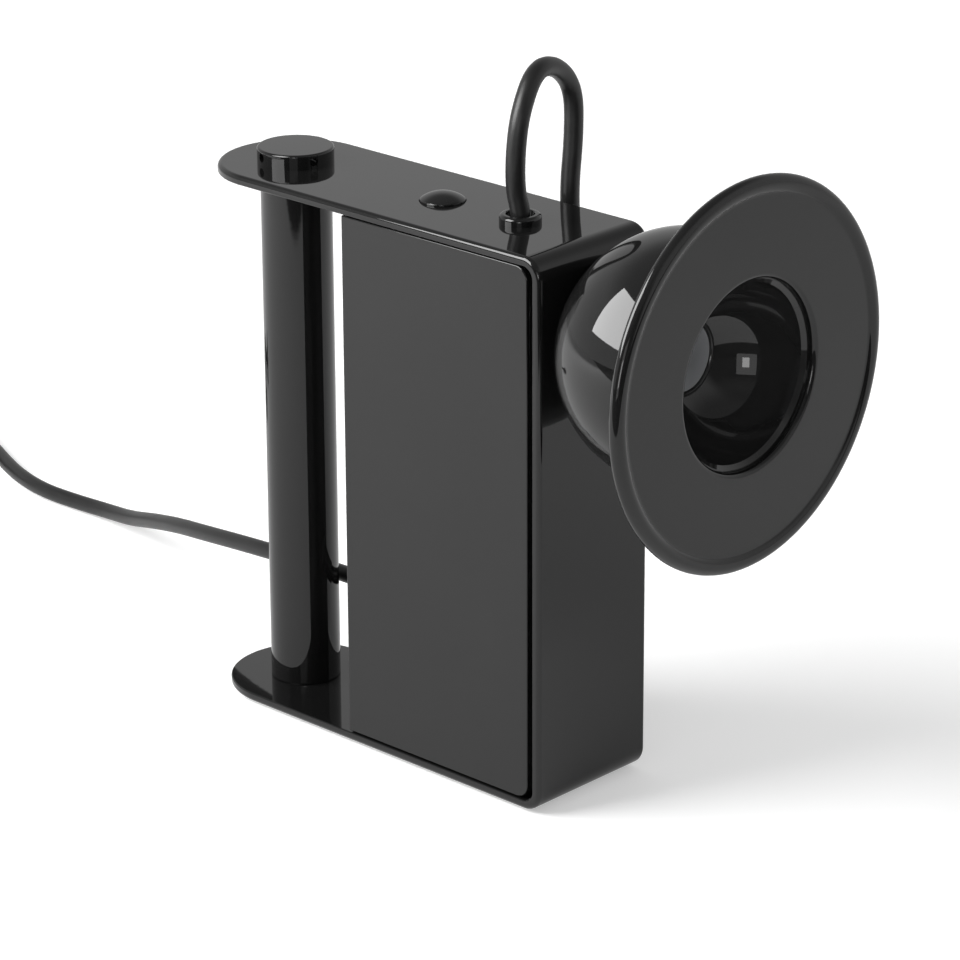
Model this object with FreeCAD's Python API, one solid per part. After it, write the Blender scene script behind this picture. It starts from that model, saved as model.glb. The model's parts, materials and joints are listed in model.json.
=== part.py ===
import FreeCAD, Part
import math
import os

# Tabletop searchlight lamp with a steel C-frame, a flat box between its plates, a grip post and a
# spun head that turns as a ball on a magnetic seat.
# Millimetres. +X points the way the head shines, +Z is up, and the far side of the box is +Y.
# The origin lies on the table, under the middle of the C-frame.

V = FreeCAD.Vector
X_AXIS = V(1, 0, 0)
Y_AXIS = V(0, 1, 0)
Z_AXIS = V(0, 0, 1)

# ---------------------------------------------------------------- clearances
FIT = 0.1            # pieces of one body that pass through or slip into each other
RUNNING_GAP = 0.3    # curved faces of pieces that move against each other
PANEL_GAP = 0.5      # shadow line between the box and the plates of the frame
STRAIGHT_ENOUGH = 1e-6   # a corner of a cord's route that turns less than this is no corner

# ---------------------------------------------------------------- C-frame, bent from one strip
FRAME_LENGTH = 178.0
FRAME_WIDTH = 58.0
FRAME_HEIGHT = 210.0
STRIP_T = 3.5
BEND_R = 8.0
STRIP_EDGE_R = 0.8
PAD_T = 1.0
PAD_MARGIN = 8.0

# ---------------------------------------------------------------- grip post and what clamps it
POST_R = 13.35
POST_WALL = 1.5
TIE_ROD_R = 4.0
CAP_R = 14.35
CAP_H = 5.6
CAP_EDGE_R = 0.9
CAP_THREAD_DEPTH = 3.4
SPANNER_HOLE_R = 1.7
SPANNER_HOLE_DEPTH = 3.5
SPANNER_HOLES = 4
SPANNER_FIRST_ANGLE = -16.0
PLUG_DISC_T = 4.0
FOOT_NUT_R = 9.0
FOOT_NUT_H = 2.5

# ---------------------------------------------------------------- box between the plates
BOX_SETBACK = 97.1
FRONT_SLOT = 2.8
COVER_T = 2.0
COVER_RECESS = 0.5
COVER_CORNER_R = 5.5
COVER_EDGE_R = 0.5
CHASSIS_T = 1.5
STANDOFF_R = 3.0
STANDOFF_INSET = 8.0
COVER_SCREW_R = 1.5
COVER_SCREW_HEAD_R = 2.9
COVER_SCREW_HEAD_H = 1.4
COVER_SCREW_LENGTH = 9.0
BASE_SCREW_R = 2.0
BASE_SCREW_HEAD_R = 3.8
BASE_SCREW_HEAD_H = 2.0
BASE_SCREW_LENGTH = 8.0
BASE_SCREW_INSET = 7.8
CROSS_REACH = 0.55
CROSS_WIDTH = 0.22
CROSS_DEPTH = 0.6
CLINCH_NUT_R = 4.0
CLINCH_NUT_H = 3.0

# ---------------------------------------------------------------- push button and its switch
BUTTON_SETBACK = 73.7
BUTTON_R = 8.35
BUTTON_PROUD = 3.4
BUTTON_DOME = 2.7
BUTTON_GAP = 0.25
BUTTON_TRAVEL = 2.0
BUTTON_LIP = 1.2
BUTTON_LIP_T = 1.2
BUTTON_STEM_R = 2.4
BUTTON_STEM_LENGTH = 8.0
SWITCH_WALL = 1.0
SWITCH_DEPTH = 19.0
SWITCH_FLOOR = 2.0
SWITCH_FLANGE = 2.2
SPRING_R = 4.6
SPRING_WIRE_R = 0.45
SPRING_TURNS = 5
BLADE_W = 4.8
BLADE_T = 0.8
BLADE_LENGTH = 8.0
BLADE_SPACING = 9.0

# ---------------------------------------------------------------- cable bush on the top plate
BUSH_SETBACK = 35.7
BUSH_R = 7.65
BUSH_H = 3.2
BUSH_EDGE_R = 1.5
BUSH_RECESS_R = 5.2
BUSH_RECESS = 1.5
BUSH_SLEEVE_R = 5.0
BUSH_NUT_R = 8.0
BUSH_NUT_H = 3.0
BUSH_THREAD = 6.5

# ---------------------------------------------------------------- magnetic ball seat
BALL_R = 45.8
BALL_SINK = 3.5
BALL_DROP = 32.5
SEAT_BEVEL = 2.8
SEAT_BEVEL_DEPTH = 1.9
GLIDE_RIM = 0.9
GLIDE_W = 4.2
SEAT_FLANGE_T = 2.0
SEAT_CUP_WALL = 1.5
SEAT_CUP_FLOOR = 1.0
MAGNET_R = 8.0
MAGNET_T = 4.0
SEAT_SCREW_R = 1.25
SEAT_SCREW_INSET = 2.2
SEAT_SCREWS = 3
SEAT_SCREW_HEAD_R = 2.0
SEAT_SCREW_HEAD_H = 1.2
SEAT_THREAD_DEPTH = 1.6

# ---------------------------------------------------------------- head
SHELL_T = 1.5
BRIM_R = 70.3
BRIM_SETBACK = 16.8
BRIM_T = 2.0
BEAD_W = 3.4
BEAD_DEPTH = 2.7
BEAD_PROUD = 1.2
MOUTH_ROUND = 2.0
COLLAR_T = 0.8
COLLAR_GAP = 0.12
REFLECTOR_STEP = 2.1
REFLECTOR_SETBACK = 4.5
REFLECTOR_T = 1.2
REFLECTOR_LIP = 1.5
REFLECTOR_LIP_DEPTH = 1.4
REFLECTOR_RIM_DEPTH = 2.0
BARREL_R = 13.0
BARREL_BORE_R = 10.5
BOARD_DEPTH = 9.0
BARREL_FOOT_R = 14.5
BARREL_FOOT_T = 2.0
LAMP_RISE = 7.4
BEZEL_R = 14.05
BEZEL_LIP = 1.0
BEZEL_EDGE_R = 0.3
LENS_R = 12.2
LENS_T = 2.0
LENS_DOME = 1.0
LED_BOARD_R = 10.2
LED_BOARD_T = 1.6
LED_CHIP_R = 4.0
LED_CHIP_T = 1.2
HOLDER_STUD_R = 1.5
HOLDER_STUD_LENGTH = 8.0
HOLDER_STUD_CIRCLE_R = 9.1

# ---------------------------------------------------------------- lead from the box to the head
LEAD_R = 3.55
HEAD_GLAND_ANGLE = 120.0
HEAD_GLAND_R = 5.4
HEAD_GLAND_TIP_R = 4.4
HEAD_GLAND_LENGTH = 9.0
GLAND_FLANGE_R = 7.0
GLAND_SHOULDER = 0.6
GLAND_FLANGE_DEPTH = 3.0
GLAND_STRAIGHT = 11.0
HEAD_WIRE_R = 0.7
HEAD_WIRE_SPACING = 2.6
HEAD_WIRE_DEPTH = 1.65

# ---------------------------------------------------------------- driver and wiring in the box
DRIVER_LENGTH = 52.0
DRIVER_HEIGHT = 84.0
DRIVER_THICKNESS = 24.0
DRIVER_CORNER_R = 3.0
DRIVER_LIFT = 58.0
TRAY_T = 1.2
TRAY_LIP = 6.0
TERMINAL_LENGTH = 24.0
TERMINAL_HEIGHT = 14.0
TERMINAL_DEPTH = 15.6
TERMINAL_WAYS = 3
TERMINAL_SCREW_R = 1.8
TERMINAL_SCREW_SINK = 1.0
TERMINAL_SLOT_W = 0.6
TERMINAL_SETBACK = 22.0
CLAMP_LENGTH = 10.0
CLAMP_BRIDGE = 3.0
CLAMP_SCREW_R = 1.5
CLAMP_SCREW_HEAD_R = 2.6
CLAMP_SCREW_HEAD_H = 1.8
CLAMP_SCREW_LENGTH = 16.0
CLAMP_SCREW_OFFSET = 8.5
BRACKET_T = 2.0
WIRE_R = 1.1
WIRE_SPACING = 3.2
WIRE_STRAIGHT = 9.0

# ---------------------------------------------------------------- mains cord, gland and plug
CORD_R = 3.25
CORD_EXIT_Z = 41.0
CORD_POST_GAP = 1.9
CORD_STRAIGHT = 4.0
MAINS_GLAND_R = 6.6
MAINS_GLAND_TIP_R = 4.4
MAINS_GLAND_LENGTH = 28.0
MAINS_GLAND_FLANGE_R = 7.8
MAINS_GLAND_FLANGE_T = 2.0
CORD_ENTRY_ANGLE = 78.0
CORD_LEAVE_ANGLE = 198.0
CORD_LIFT = 0.05
COIL_CENTRE_X = -400.0
COIL_CENTRE_Y = 60.0
COIL_OUTER_TURN_R = 42.0
COIL_TURNS_WIDE = 3
COIL_LAYERS = 2
COIL_EDGE_R = 2.9
TIE_W = 8.0
TIE_T = 1.2
TIE_ANGLE = 20.0
PLUG_W = 35.3
PLUG_REAR_W = 15.0
PLUG_H = 13.7
PLUG_LENGTH = 34.0
PLUG_SHOULDER = 18.7
PLUG_CORNER_R = 3.0
PLUG_BOOT_LENGTH = 20.0
PLUG_BOOT_R = 5.2
PLUG_BOOT_TIP_R = 4.0
PIN_R = 2.0
PIN_LENGTH = 19.0
PIN_ROOT = 8.0
PIN_TIP_R = 1.2
PIN_SPACING = 18.6

# ---------------------------------------------------------------- places worked out from the sizes
FRONT_X = FRAME_LENGTH / 2
REAR_X = -FRAME_LENGTH / 2
POST_X = REAR_X + FRAME_WIDTH / 2
BASE_Z = PAD_T
TOP_Z = BASE_Z + FRAME_HEIGHT
FLOOR_Z = BASE_Z + STRIP_T
CEILING_Z = TOP_Z - STRIP_T
HALF_W = FRAME_WIDTH / 2
BOX_REAR_X = FRONT_X - BOX_SETBACK
BOX_FRONT_X = FRONT_X - STRIP_T - FRONT_SLOT
BUTTON_X = FRONT_X - BUTTON_SETBACK
BUSH_X = FRONT_X - BUSH_SETBACK
BOX_LOW_Z = FLOOR_Z + PANEL_GAP
BOX_HIGH_Z = CEILING_Z - PANEL_GAP
BOX_HALF_W = HALF_W - COVER_RECESS
CHASSIS_HALF_W = BOX_HALF_W - COVER_T
BALL_X = FRONT_X + BALL_R - BALL_SINK
BALL_Z = TOP_Z - BALL_DROP
BALL = V(BALL_X, 0, BALL_Z)
SUNK_R = math.sqrt(BALL_R**2 - (BALL_R - BALL_SINK) ** 2)
GLIDE_R = SUNK_R + GLIDE_RIM
GLIDE_BORE_R = GLIDE_R - GLIDE_W
SEAT_SCREW_CIRCLE_R = GLIDE_R + RUNNING_GAP + SEAT_SCREW_INSET
SEAT_FLANGE_R = SEAT_SCREW_CIRCLE_R + SEAT_SCREW_HEAD_R + FIT
BRIM_FACE = BALL_R - BRIM_SETBACK
BRIM_REAR = BRIM_FACE - BRIM_T
MOUTH_R = math.sqrt((BALL_R - SHELL_T) ** 2 - BRIM_REAR**2) - COLLAR_GAP - COLLAR_T
REFLECTOR_R = MOUTH_R - REFLECTOR_STEP
REFLECTOR_X = BRIM_FACE - REFLECTOR_SETBACK
LAMP_FRONT = REFLECTOR_X - REFLECTOR_R + LAMP_RISE
LEAD_START_Z = TOP_Z + BUSH_H - BUSH_RECESS
CORD_EXIT_Y = CHASSIS_HALF_W - MAINS_GLAND_FLANGE_R - 2 * FIT
CORD_PASS_Y = POST_R + CORD_R + CORD_POST_GAP
DRIVER_MIDDLE_Y = -CHASSIS_HALF_W + TRAY_T + DRIVER_THICKNESS / 2
DRIVER_FAR_Y = DRIVER_MIDDLE_Y + DRIVER_THICKNESS / 2

# ---------------------------------------------------------------- routes of the two cords
# The loop of the head lead: up from the bush, over, down the far side and forward into the head.
HEAD_LEAD_ROUTE = [
    (BUSH_X, 0.0, TOP_Z + 4.2),
    (BUSH_X - 1.3, -1.2, TOP_Z + 12.0),
    (BUSH_X + 0.3, -2.8, TOP_Z + 26.5),
    (BUSH_X + 0.9, -0.9, TOP_Z + 40.7),
    (BUSH_X - 1.8, 9.6, TOP_Z + 53.5),
    (BUSH_X - 5.6, HALF_W - 4.3, TOP_Z + 51.3),
    (BUSH_X - 7.7, HALF_W + 7.4, TOP_Z + 40.2),
    (BUSH_X - 7.4, HALF_W + 7.3, TOP_Z + 22.0),
    (BUSH_X - 7.9, HALF_W + 5.4, TOP_Z + 3.0),
    (BUSH_X - 8.8, HALF_W + 7.7, TOP_Z - 15.5),
    (BUSH_X + 1.7, HALF_W + 20.0, BALL_Z + 3.0),
    (FRONT_X - 22.5, BALL_R + 12.7, BALL_Z - 2.5),
    (FRONT_X - 6.0, BALL_R + 16.2, BALL_Z - 1.5),
]
# The mains cord: straight out of the box, past the grip post, down to the table and away.
MAINS_ROUTE = [
    (BOX_REAR_X - MAINS_GLAND_LENGTH - CORD_STRAIGHT, CORD_EXIT_Y, CORD_EXIT_Z),
    (POST_X, CORD_PASS_Y, CORD_EXIT_Z),
    (REAR_X, CORD_PASS_Y + 0.9, CORD_EXIT_Z - 2.1),
    (-118.0, 22.0, 35.4),
    (-144.0, 27.5, 30.4),
    (-170.0, 36.0, 24.6),
    (-197.0, 46.5, 18.0),
    (-222.0, 56.5, 11.4),
    (-244.0, 63.0, 5.6),
    (-264.0, 63.2, 3.3),
    (-285.0, 62.6, 3.3),
    (-307.0, 67.5, 3.3),
    (-331.0, 77.5, 3.3),
    (-358.0, 90.0, 3.3),
]
# The tail of the mains cord: off the top of the coil and down to the plug.
TAIL_ROUTE = [
    (-434.0, 27.0, 8.4),
    (-431.5, 9.0, 6.85),
]
PLUG_END_Y = -9.0
PLUG_X = -431.5
# Inside the box: the head lead down the front wall, and the driver's wires as (y, z).
INNER_LEAD_ROUTE = [
    (BUSH_X, 0.0, TOP_Z - 27.0),
    (BUSH_X + 4.2, DRIVER_FAR_Y + 4.6, 150.0),
    (FRONT_X - 19.5, CORD_EXIT_Y - 6.5, 114.0),
    (FRONT_X - 12.4, CORD_EXIT_Y, 81.0),
    (FRONT_X - 12.2, CORD_EXIT_Y, 57.7),
    (FRONT_X - 18.3, CORD_EXIT_Y, 47.1),
    (FRONT_X - 28.9, CORD_EXIT_Y, CORD_EXIT_Z),
]
DRIVER_WIRE_BEND = [
    (DRIVER_MIDDLE_Y, 57.0),
    (DRIVER_MIDDLE_Y + 4.8, 48.7),
    (DRIVER_MIDDLE_Y + 12.8, 43.8),
]


# ================================================================ helpers
def cylinder(radius, start, length, axis=Z_AXIS):
    """A round bar that starts at a point and runs along an axis."""
    return Part.makeCylinder(radius, length, start, axis)


def cone(start_radius, end_radius, start, length, axis=Z_AXIS):
    """A tapered round bar."""
    return Part.makeCone(start_radius, end_radius, length, start, axis)


def ring(outer, inner, start, length, axis=Z_AXIS):
    """A round bar with a round hole along it."""
    return cylinder(outer, start, length, axis).cut(cylinder(inner, start, length, axis))


def drill(radius, centre, axis=Z_AXIS):
    """A bar through one thin wall, centred on a point."""
    half = 2 * STRIP_T
    return cylinder(radius, centre - axis * half, 2 * half, axis)


def block(low, high):
    """A box between two corners."""
    low, high = V(*low), V(*high)
    size = high - low
    return Part.makeBox(size.x, size.y, size.z, low)


def fuse(shapes):
    """One solid from several that touch or overlap."""
    whole = shapes[0].multiFuse(shapes[1:]) if len(shapes) > 1 else shapes[0]
    return whole.removeSplitter()


def cut(shape, tools):
    """A shape with several others cut away."""
    for tool in tools:
        shape = shape.cut(tool)
    return shape


def around(count, radius, first=0.0):
    """Points on a circle in the YZ plane about the X axis, as (y, z)."""
    angles = [math.radians(first + 360.0 * k / count) for k in range(count)]
    return [(radius * math.cos(a), radius * math.sin(a)) for a in angles]


def revolved(edges):
    """The solid that a closed profile in the XZ plane makes about the X axis."""
    face = Part.Face(Part.Wire(Part.__sortEdges__(edges)))
    return face.revolve(V(0, 0, 0), X_AXIS, 360)


def line(a, b):
    """A straight profile edge between two (x, radius) points."""
    return Part.LineSegment(V(a[0], 0, a[1]), V(b[0], 0, b[1])).toShape()


def arc(a, middle, b):
    """A profile arc through three (x, radius) points."""
    return Part.Arc(*[V(p[0], 0, p[1]) for p in (a, middle, b)]).toShape()


def on_circle(radius, angle, centre=(0.0, 0.0)):
    """The (x, radius) point of a profile circle at an angle in degrees from +X."""
    turn = math.radians(angle)
    return (centre[0] + radius * math.cos(turn), centre[1] + radius * math.sin(turn))


def rounded_box(low, high, radius, axis):
    """A box whose four edges along one axis are rounded."""
    body = block(low, high)
    edges = [e for e in body.Edges if abs(e.tangentAt(e.FirstParameter).dot(axis)) > 0.99]
    return body.makeFillet(radius, edges)


def cord_path(points, name):
    """Straight runs joined by tangent arcs, each as large as its two runs allow."""
    points = [V(*p) for p in points]
    edges, start, radii = [], points[0], []
    for before, corner, after in zip(points, points[1:], points[2:]):
        back, ahead = (before - corner), (after - corner)
        reach = 0.45 * min(back.Length, ahead.Length)
        half_turn = (math.pi - back.getAngle(ahead)) / 2
        if half_turn < STRAIGHT_ENOUGH:
            continue
        radius = reach / math.tan(half_turn)
        enter = corner + back.normalize() * reach
        leave = corner + ahead.normalize() * reach
        bisector = (back + ahead).normalize()
        middle = corner + bisector * (radius / math.cos(half_turn) - radius)
        edges.append(Part.LineSegment(start, enter).toShape())
        edges.append(Part.Arc(enter, middle, leave).toShape())
        radii.append(radius)
        start = leave
    edges.append(Part.LineSegment(start, points[-1]).toShape())
    print(name, "length", round(sum(e.Length for e in edges), 1), "radii", [round(r, 1) for r in radii])
    return Part.Wire(edges)


def cord_tube(points, radius, name):
    """A round tube along a cord's path, its volume checked against section times length."""
    path = cord_path(points, name)
    start = path.Edges[0]
    heading = start.tangentAt(start.FirstParameter)
    section = Part.Wire(Part.Circle(V(*points[0]), heading, radius).toShape())
    tube = path.makePipeShell([section], True, False)
    expected = math.pi * radius**2 * path.Length
    print(name, "volume over section times length", round(tube.Volume / expected, 4))
    return tube


def in_head(shape):
    """Moves a shape made about the ball's centre to where the head is."""
    return shape.translate(BALL)


# ================================================================ C-frame and grip
def strip_profile():
    """The C seen from the side: top plate, front and bottom plate with two round bends."""
    inner_r = BEND_R - STRIP_T
    inner_x = FRONT_X - STRIP_T
    outer = block((REAR_X, -HALF_W, BASE_Z), (FRONT_X, HALF_W, TOP_Z))
    outer_bends = [e for e in outer.Edges if is_front_cross_edge(e, FRONT_X)]
    outer = outer.makeFillet(BEND_R, outer_bends)
    beyond = REAR_X - STRIP_T
    inner = block((beyond, -FRAME_WIDTH, FLOOR_Z), (inner_x, FRAME_WIDTH, CEILING_Z))
    inner_bends = [e for e in inner.Edges if is_front_cross_edge(e, inner_x)]
    return outer.cut(inner.makeFillet(inner_r, inner_bends))


def is_front_cross_edge(edge, x):
    """Whether an edge lies across the strip at a given x."""
    box = edge.BoundBox
    return abs(box.XMin - x) < 1e-6 and box.XLength < 1e-6 and box.ZLength < 1e-6


def plan_outline(low_z, high_z, margin=0.0):
    """The strip's plan as a prism: square at the front and half round about the grip post."""
    reach = HALF_W - margin
    straight = block((POST_X, -reach, low_z), (FRONT_X - margin, reach, high_z))
    return fuse([straight, cylinder(reach, V(POST_X, 0, low_z), high_z - low_z)])


def rounded_rims(strip):
    """Rounds the outer rims of the two plates and the front."""
    rims = []
    for edge in strip.Edges:
        box = edge.BoundBox
        on_top = box.ZMin > TOP_Z - 1e-6
        on_base = box.ZMax < BASE_Z + 1e-6
        on_front = box.XMin > FRONT_X - 1e-6
        on_bend = box.XMin > FRONT_X - BEND_R - 1e-6 and box.YLength < 1e-6 and edge.Length > BEND_R
        if (on_top or on_base or on_front or on_bend) and not is_seam(edge):
            rims.append(edge)
    return strip.makeFillet(STRIP_EDGE_R, rims)


def is_seam(edge):
    """Whether an edge runs straight across the strip, where a bend meets a flat."""
    box = edge.BoundBox
    return box.XLength < 1e-6 and box.ZLength < 1e-6


def c_frame():
    """The bent strip with its holes for the post, the button, the bush and the ball seat."""
    strip = strip_profile().common(plan_outline(BASE_Z, TOP_Z))
    strip = rounded_rims(strip)
    holes = [
        cylinder(TIE_ROD_R + FIT, V(POST_X, 0, 0), TOP_Z + STRIP_T),
        drill(BUTTON_R + BUTTON_GAP, V(BUTTON_X, 0, CEILING_Z)),
        drill(BUSH_SLEEVE_R + FIT, V(BUSH_X, 0, CEILING_Z)),
        drill(GLIDE_R + RUNNING_GAP, V(FRONT_X, 0, BALL_Z), X_AXIS),
        seat_bevel(),
        foot_nut_recess(),
    ]
    holes += [base_screw_hole(x) for x in base_screw_places()]
    holes += [seat_screw_hole(y, z) for y, z in seat_screw_places()]
    return cut(strip, holes)


def seat_bevel():
    """The bevel round the mouth of the ball's seat, which keeps the strip clear of the turning ball."""
    seat_r = GLIDE_R + RUNNING_GAP
    return cone(seat_r, seat_r + SEAT_BEVEL, V(FRONT_X - SEAT_BEVEL_DEPTH, 0, BALL_Z), SEAT_BEVEL_DEPTH, X_AXIS)


def base_screw_places():
    """Where the two screws go that hold the box to the bottom plate."""
    return [BOX_REAR_X + BASE_SCREW_INSET, BOX_FRONT_X - BASE_SCREW_INSET]


def screw(radius, head_r, head_h, length, head_at, axis):
    """A countersunk screw whose head's flat face is at a point, with a cross-slot for a driver."""
    head = cone(head_r, radius, head_at, head_h, axis)
    shank = cylinder(radius, head_at, length, axis)
    arm, width = CROSS_REACH * head_r, CROSS_WIDTH * head_r
    depth = CROSS_DEPTH * head_h
    blade = block((-arm, -width / 2, -depth), (arm, width / 2, depth))
    blade.Placement = FreeCAD.Placement(head_at, FreeCAD.Rotation(Z_AXIS, axis))
    crossing = blade.copy()
    crossing.rotate(head_at, axis, 90)
    return cut(fuse([head, shank]), [blade, crossing])


def screw_hole(radius, head_r, head_h, length, head_at, axis):
    """The countersunk hole that such a screw fills, with a clearance round it."""
    sink = cone(head_r + FIT, radius + FIT, head_at, head_h, axis)
    mouth = cylinder(head_r + FIT, head_at - axis * STRIP_T, STRIP_T, axis)
    return fuse([mouth, sink, cylinder(radius + FIT, head_at, length, axis)])


def base_screw_hole(x):
    """The countersunk hole of one base screw."""
    head_at = V(x, 0, BASE_Z)
    return screw_hole(BASE_SCREW_R, BASE_SCREW_HEAD_R, BASE_SCREW_HEAD_H, BASE_SCREW_LENGTH, head_at, Z_AXIS)


def base_screws():
    """Two countersunk screws up through the bottom plate into the box."""
    sizes = (BASE_SCREW_R, BASE_SCREW_HEAD_R, BASE_SCREW_HEAD_H, BASE_SCREW_LENGTH)
    return Part.Compound([screw(*sizes, V(x, 0, BASE_Z), Z_AXIS) for x in base_screw_places()])


def base_pad():
    """The rubber pad under the bottom plate."""
    return plan_outline(0, PAD_T, PAD_MARGIN)


def foot_nut_recess():
    """The round recess in the bottom plate that the foot nut sits in."""
    return cylinder(FOOT_NUT_R + FIT, V(POST_X, 0, BASE_Z), FOOT_NUT_H)


def foot_nut():
    """The round nut under the bottom plate that the tie rod screws into."""
    return ring(FOOT_NUT_R, TIE_ROD_R, V(POST_X, 0, BASE_Z), FOOT_NUT_H)


def tie_rod():
    """The rod through the grip post that pulls the two plates together."""
    return cylinder(TIE_ROD_R, V(POST_X, 0, BASE_Z), TOP_Z + CAP_THREAD_DEPTH - BASE_Z)


def grip_post():
    """The round tube between the plates, with a disc at each end that centres it on the rod."""
    length = CEILING_Z - FLOOR_Z
    tube = ring(POST_R, POST_R - POST_WALL, V(POST_X, 0, FLOOR_Z), length)
    discs = []
    for z in (FLOOR_Z, CEILING_Z - PLUG_DISC_T):
        discs.append(ring(POST_R - POST_WALL, TIE_ROD_R + FIT, V(POST_X, 0, z), PLUG_DISC_T))
    return fuse([tube] + discs)


def grip_cap():
    """The round cap nut on the top plate, with blind holes round its side for a spanner."""
    cap = cylinder(CAP_R, V(POST_X, 0, TOP_Z), CAP_H)
    rim = [e for e in cap.Edges if e.BoundBox.ZMin > TOP_Z + CAP_H - 1e-6 and e.Closed]
    cap = cap.makeFillet(CAP_EDGE_R, rim)
    cap = cap.cut(cylinder(TIE_ROD_R, V(POST_X, 0, TOP_Z), CAP_THREAD_DEPTH))
    for k in range(SPANNER_HOLES):
        turn = math.radians(SPANNER_FIRST_ANGLE + 360.0 * k / SPANNER_HOLES)
        outward = V(math.cos(turn), math.sin(turn), 0)
        bottom = V(POST_X, 0, TOP_Z + CAP_H / 2) + outward * (CAP_R - SPANNER_HOLE_DEPTH)
        cap = cap.cut(cylinder(SPANNER_HOLE_R, bottom, 2 * SPANNER_HOLE_DEPTH, outward))
    return cap


# ================================================================ box between the plates
def chassis():
    """The sheet-metal band inside the box: its rear wall, roof, front and floor in one loop."""
    low = (BOX_REAR_X, -CHASSIS_HALF_W, BOX_LOW_Z)
    high = (BOX_FRONT_X, CHASSIS_HALF_W, BOX_HIGH_Z)
    outer = front_rounded_block(low, high, COVER_CORNER_R)
    step = CHASSIS_T
    low = (BOX_REAR_X + step, -FRAME_WIDTH, BOX_LOW_Z + step)
    high = (BOX_FRONT_X - step, FRAME_WIDTH, BOX_HIGH_Z - step)
    band = outer.cut(front_rounded_block(low, high, COVER_CORNER_R - step))
    band = fuse([band] + [clinch_nut(x) for x in base_screw_places()])
    holes = [
        drill(switch_cavity_r() + SWITCH_WALL + FIT, V(BUTTON_X, 0, BOX_HIGH_Z)),
        drill(BUSH_SLEEVE_R + FIT, V(BUSH_X, 0, BOX_HIGH_Z)),
        drill(MAINS_GLAND_R + FIT, V(BOX_REAR_X, CORD_EXIT_Y, CORD_EXIT_Z), X_AXIS),
        drill(SEAT_FLANGE_R + FIT, V(BOX_FRONT_X, 0, BALL_Z), X_AXIS),
    ]
    holes += [drill(BASE_SCREW_R, V(x, 0, BOX_LOW_Z)) for x in base_screw_places()]
    return cut(band, holes)


def front_rounded_block(low, high, radius):
    """A box whose two front corners, seen from the side, are rounded."""
    body = block(low, high)
    front = [e for e in body.Edges if is_front_cross_edge(e, high[0])]
    return body.makeFillet(radius, front)


def clinch_nut(x):
    """A threaded bush in the floor of the box for one base screw."""
    return cylinder(CLINCH_NUT_R, V(x, 0, FLOOR_Z), PANEL_GAP + CHASSIS_T + CLINCH_NUT_H)


def cover(side):
    """One flat side cover, rounded at its front corners and along its outer rim."""
    inner_y, outer_y = side * CHASSIS_HALF_W, side * BOX_HALF_W
    low = (BOX_REAR_X, min(inner_y, outer_y), BOX_LOW_Z)
    high = (BOX_FRONT_X, max(inner_y, outer_y), BOX_HIGH_Z)
    plate = front_rounded_block(low, high, COVER_CORNER_R)
    rim = [e for e in plate.Edges if abs(e.BoundBox.YMin - outer_y) < 1e-6 and e.BoundBox.YLength < 1e-6]
    return plate.makeFillet(COVER_EDGE_R, rim)


def standoff_places():
    """The four corners of the box where the covers are tied together, as (x, z)."""
    xs = (BOX_REAR_X + STANDOFF_INSET, BOX_FRONT_X - STANDOFF_INSET)
    zs = (BOX_LOW_Z + STANDOFF_INSET, BOX_HIGH_Z - STANDOFF_INSET)
    return [(x, z) for x in xs for z in zs]


def side_cover_near():
    """The cover that shows no screws: the standoffs are fixed to its inner face."""
    return cover(-1)


def cover_screw_sizes():
    """Radius, head radius, head height and length of a cover screw."""
    return (COVER_SCREW_R, COVER_SCREW_HEAD_R, COVER_SCREW_HEAD_H, COVER_SCREW_LENGTH)


def side_cover_far():
    """The cover that comes off, with four countersunk holes."""
    plate = cover(1)
    for x, z in standoff_places():
        plate = plate.cut(screw_hole(*cover_screw_sizes(), V(x, BOX_HALF_W, z), -Y_AXIS))
    return plate


def cover_standoffs():
    """Four round bars across the box, bored at the far end for the cover screws."""
    bars = []
    bore = COVER_SCREW_LENGTH - COVER_T + 1.0
    for x, z in standoff_places():
        bar = cylinder(STANDOFF_R, V(x, -CHASSIS_HALF_W, z), 2 * CHASSIS_HALF_W, Y_AXIS)
        bars.append(bar.cut(cylinder(COVER_SCREW_R, V(x, CHASSIS_HALF_W, z), bore, -Y_AXIS)))
    return Part.Compound(bars)


def cover_screws():
    """Four countersunk screws in the far cover."""
    places = standoff_places()
    return Part.Compound([screw(*cover_screw_sizes(), V(x, BOX_HALF_W, z), -Y_AXIS) for x, z in places])


# ================================================================ push button
def button_lip_top():
    """Height of the top of the button's retaining lip, just under the top plate."""
    return CEILING_Z - RUNNING_GAP


def push_button():
    """The domed button with the lip that keeps it in and the stem that presses the switch."""
    low = button_lip_top() - BUTTON_LIP_T
    shoulder = TOP_Z + BUTTON_PROUD - BUTTON_DOME
    drum = cylinder(BUTTON_R, V(BUTTON_X, 0, low), shoulder - low)
    dome_r = (BUTTON_R**2 + BUTTON_DOME**2) / (2 * BUTTON_DOME)
    dome = Part.makeSphere(dome_r, V(BUTTON_X, 0, shoulder + BUTTON_DOME - dome_r))
    dome = dome.common(cylinder(BUTTON_R, V(BUTTON_X, 0, shoulder), 2 * BUTTON_DOME))
    lip = cylinder(BUTTON_R + BUTTON_LIP, V(BUTTON_X, 0, low), BUTTON_LIP_T)
    stem = cylinder(BUTTON_STEM_R, V(BUTTON_X, 0, low - BUTTON_STEM_LENGTH), BUTTON_STEM_LENGTH)
    return fuse([drum, dome, lip, stem])


def switch_cavity_r():
    """Inner radius of the switch housing, clear of the button's lip."""
    return BUTTON_R + BUTTON_LIP + BUTTON_GAP


def switch_floor_top():
    """Height of the inside floor of the switch housing, which the spring stands on."""
    return CEILING_Z - SWITCH_DEPTH + SWITCH_FLOOR


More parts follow.
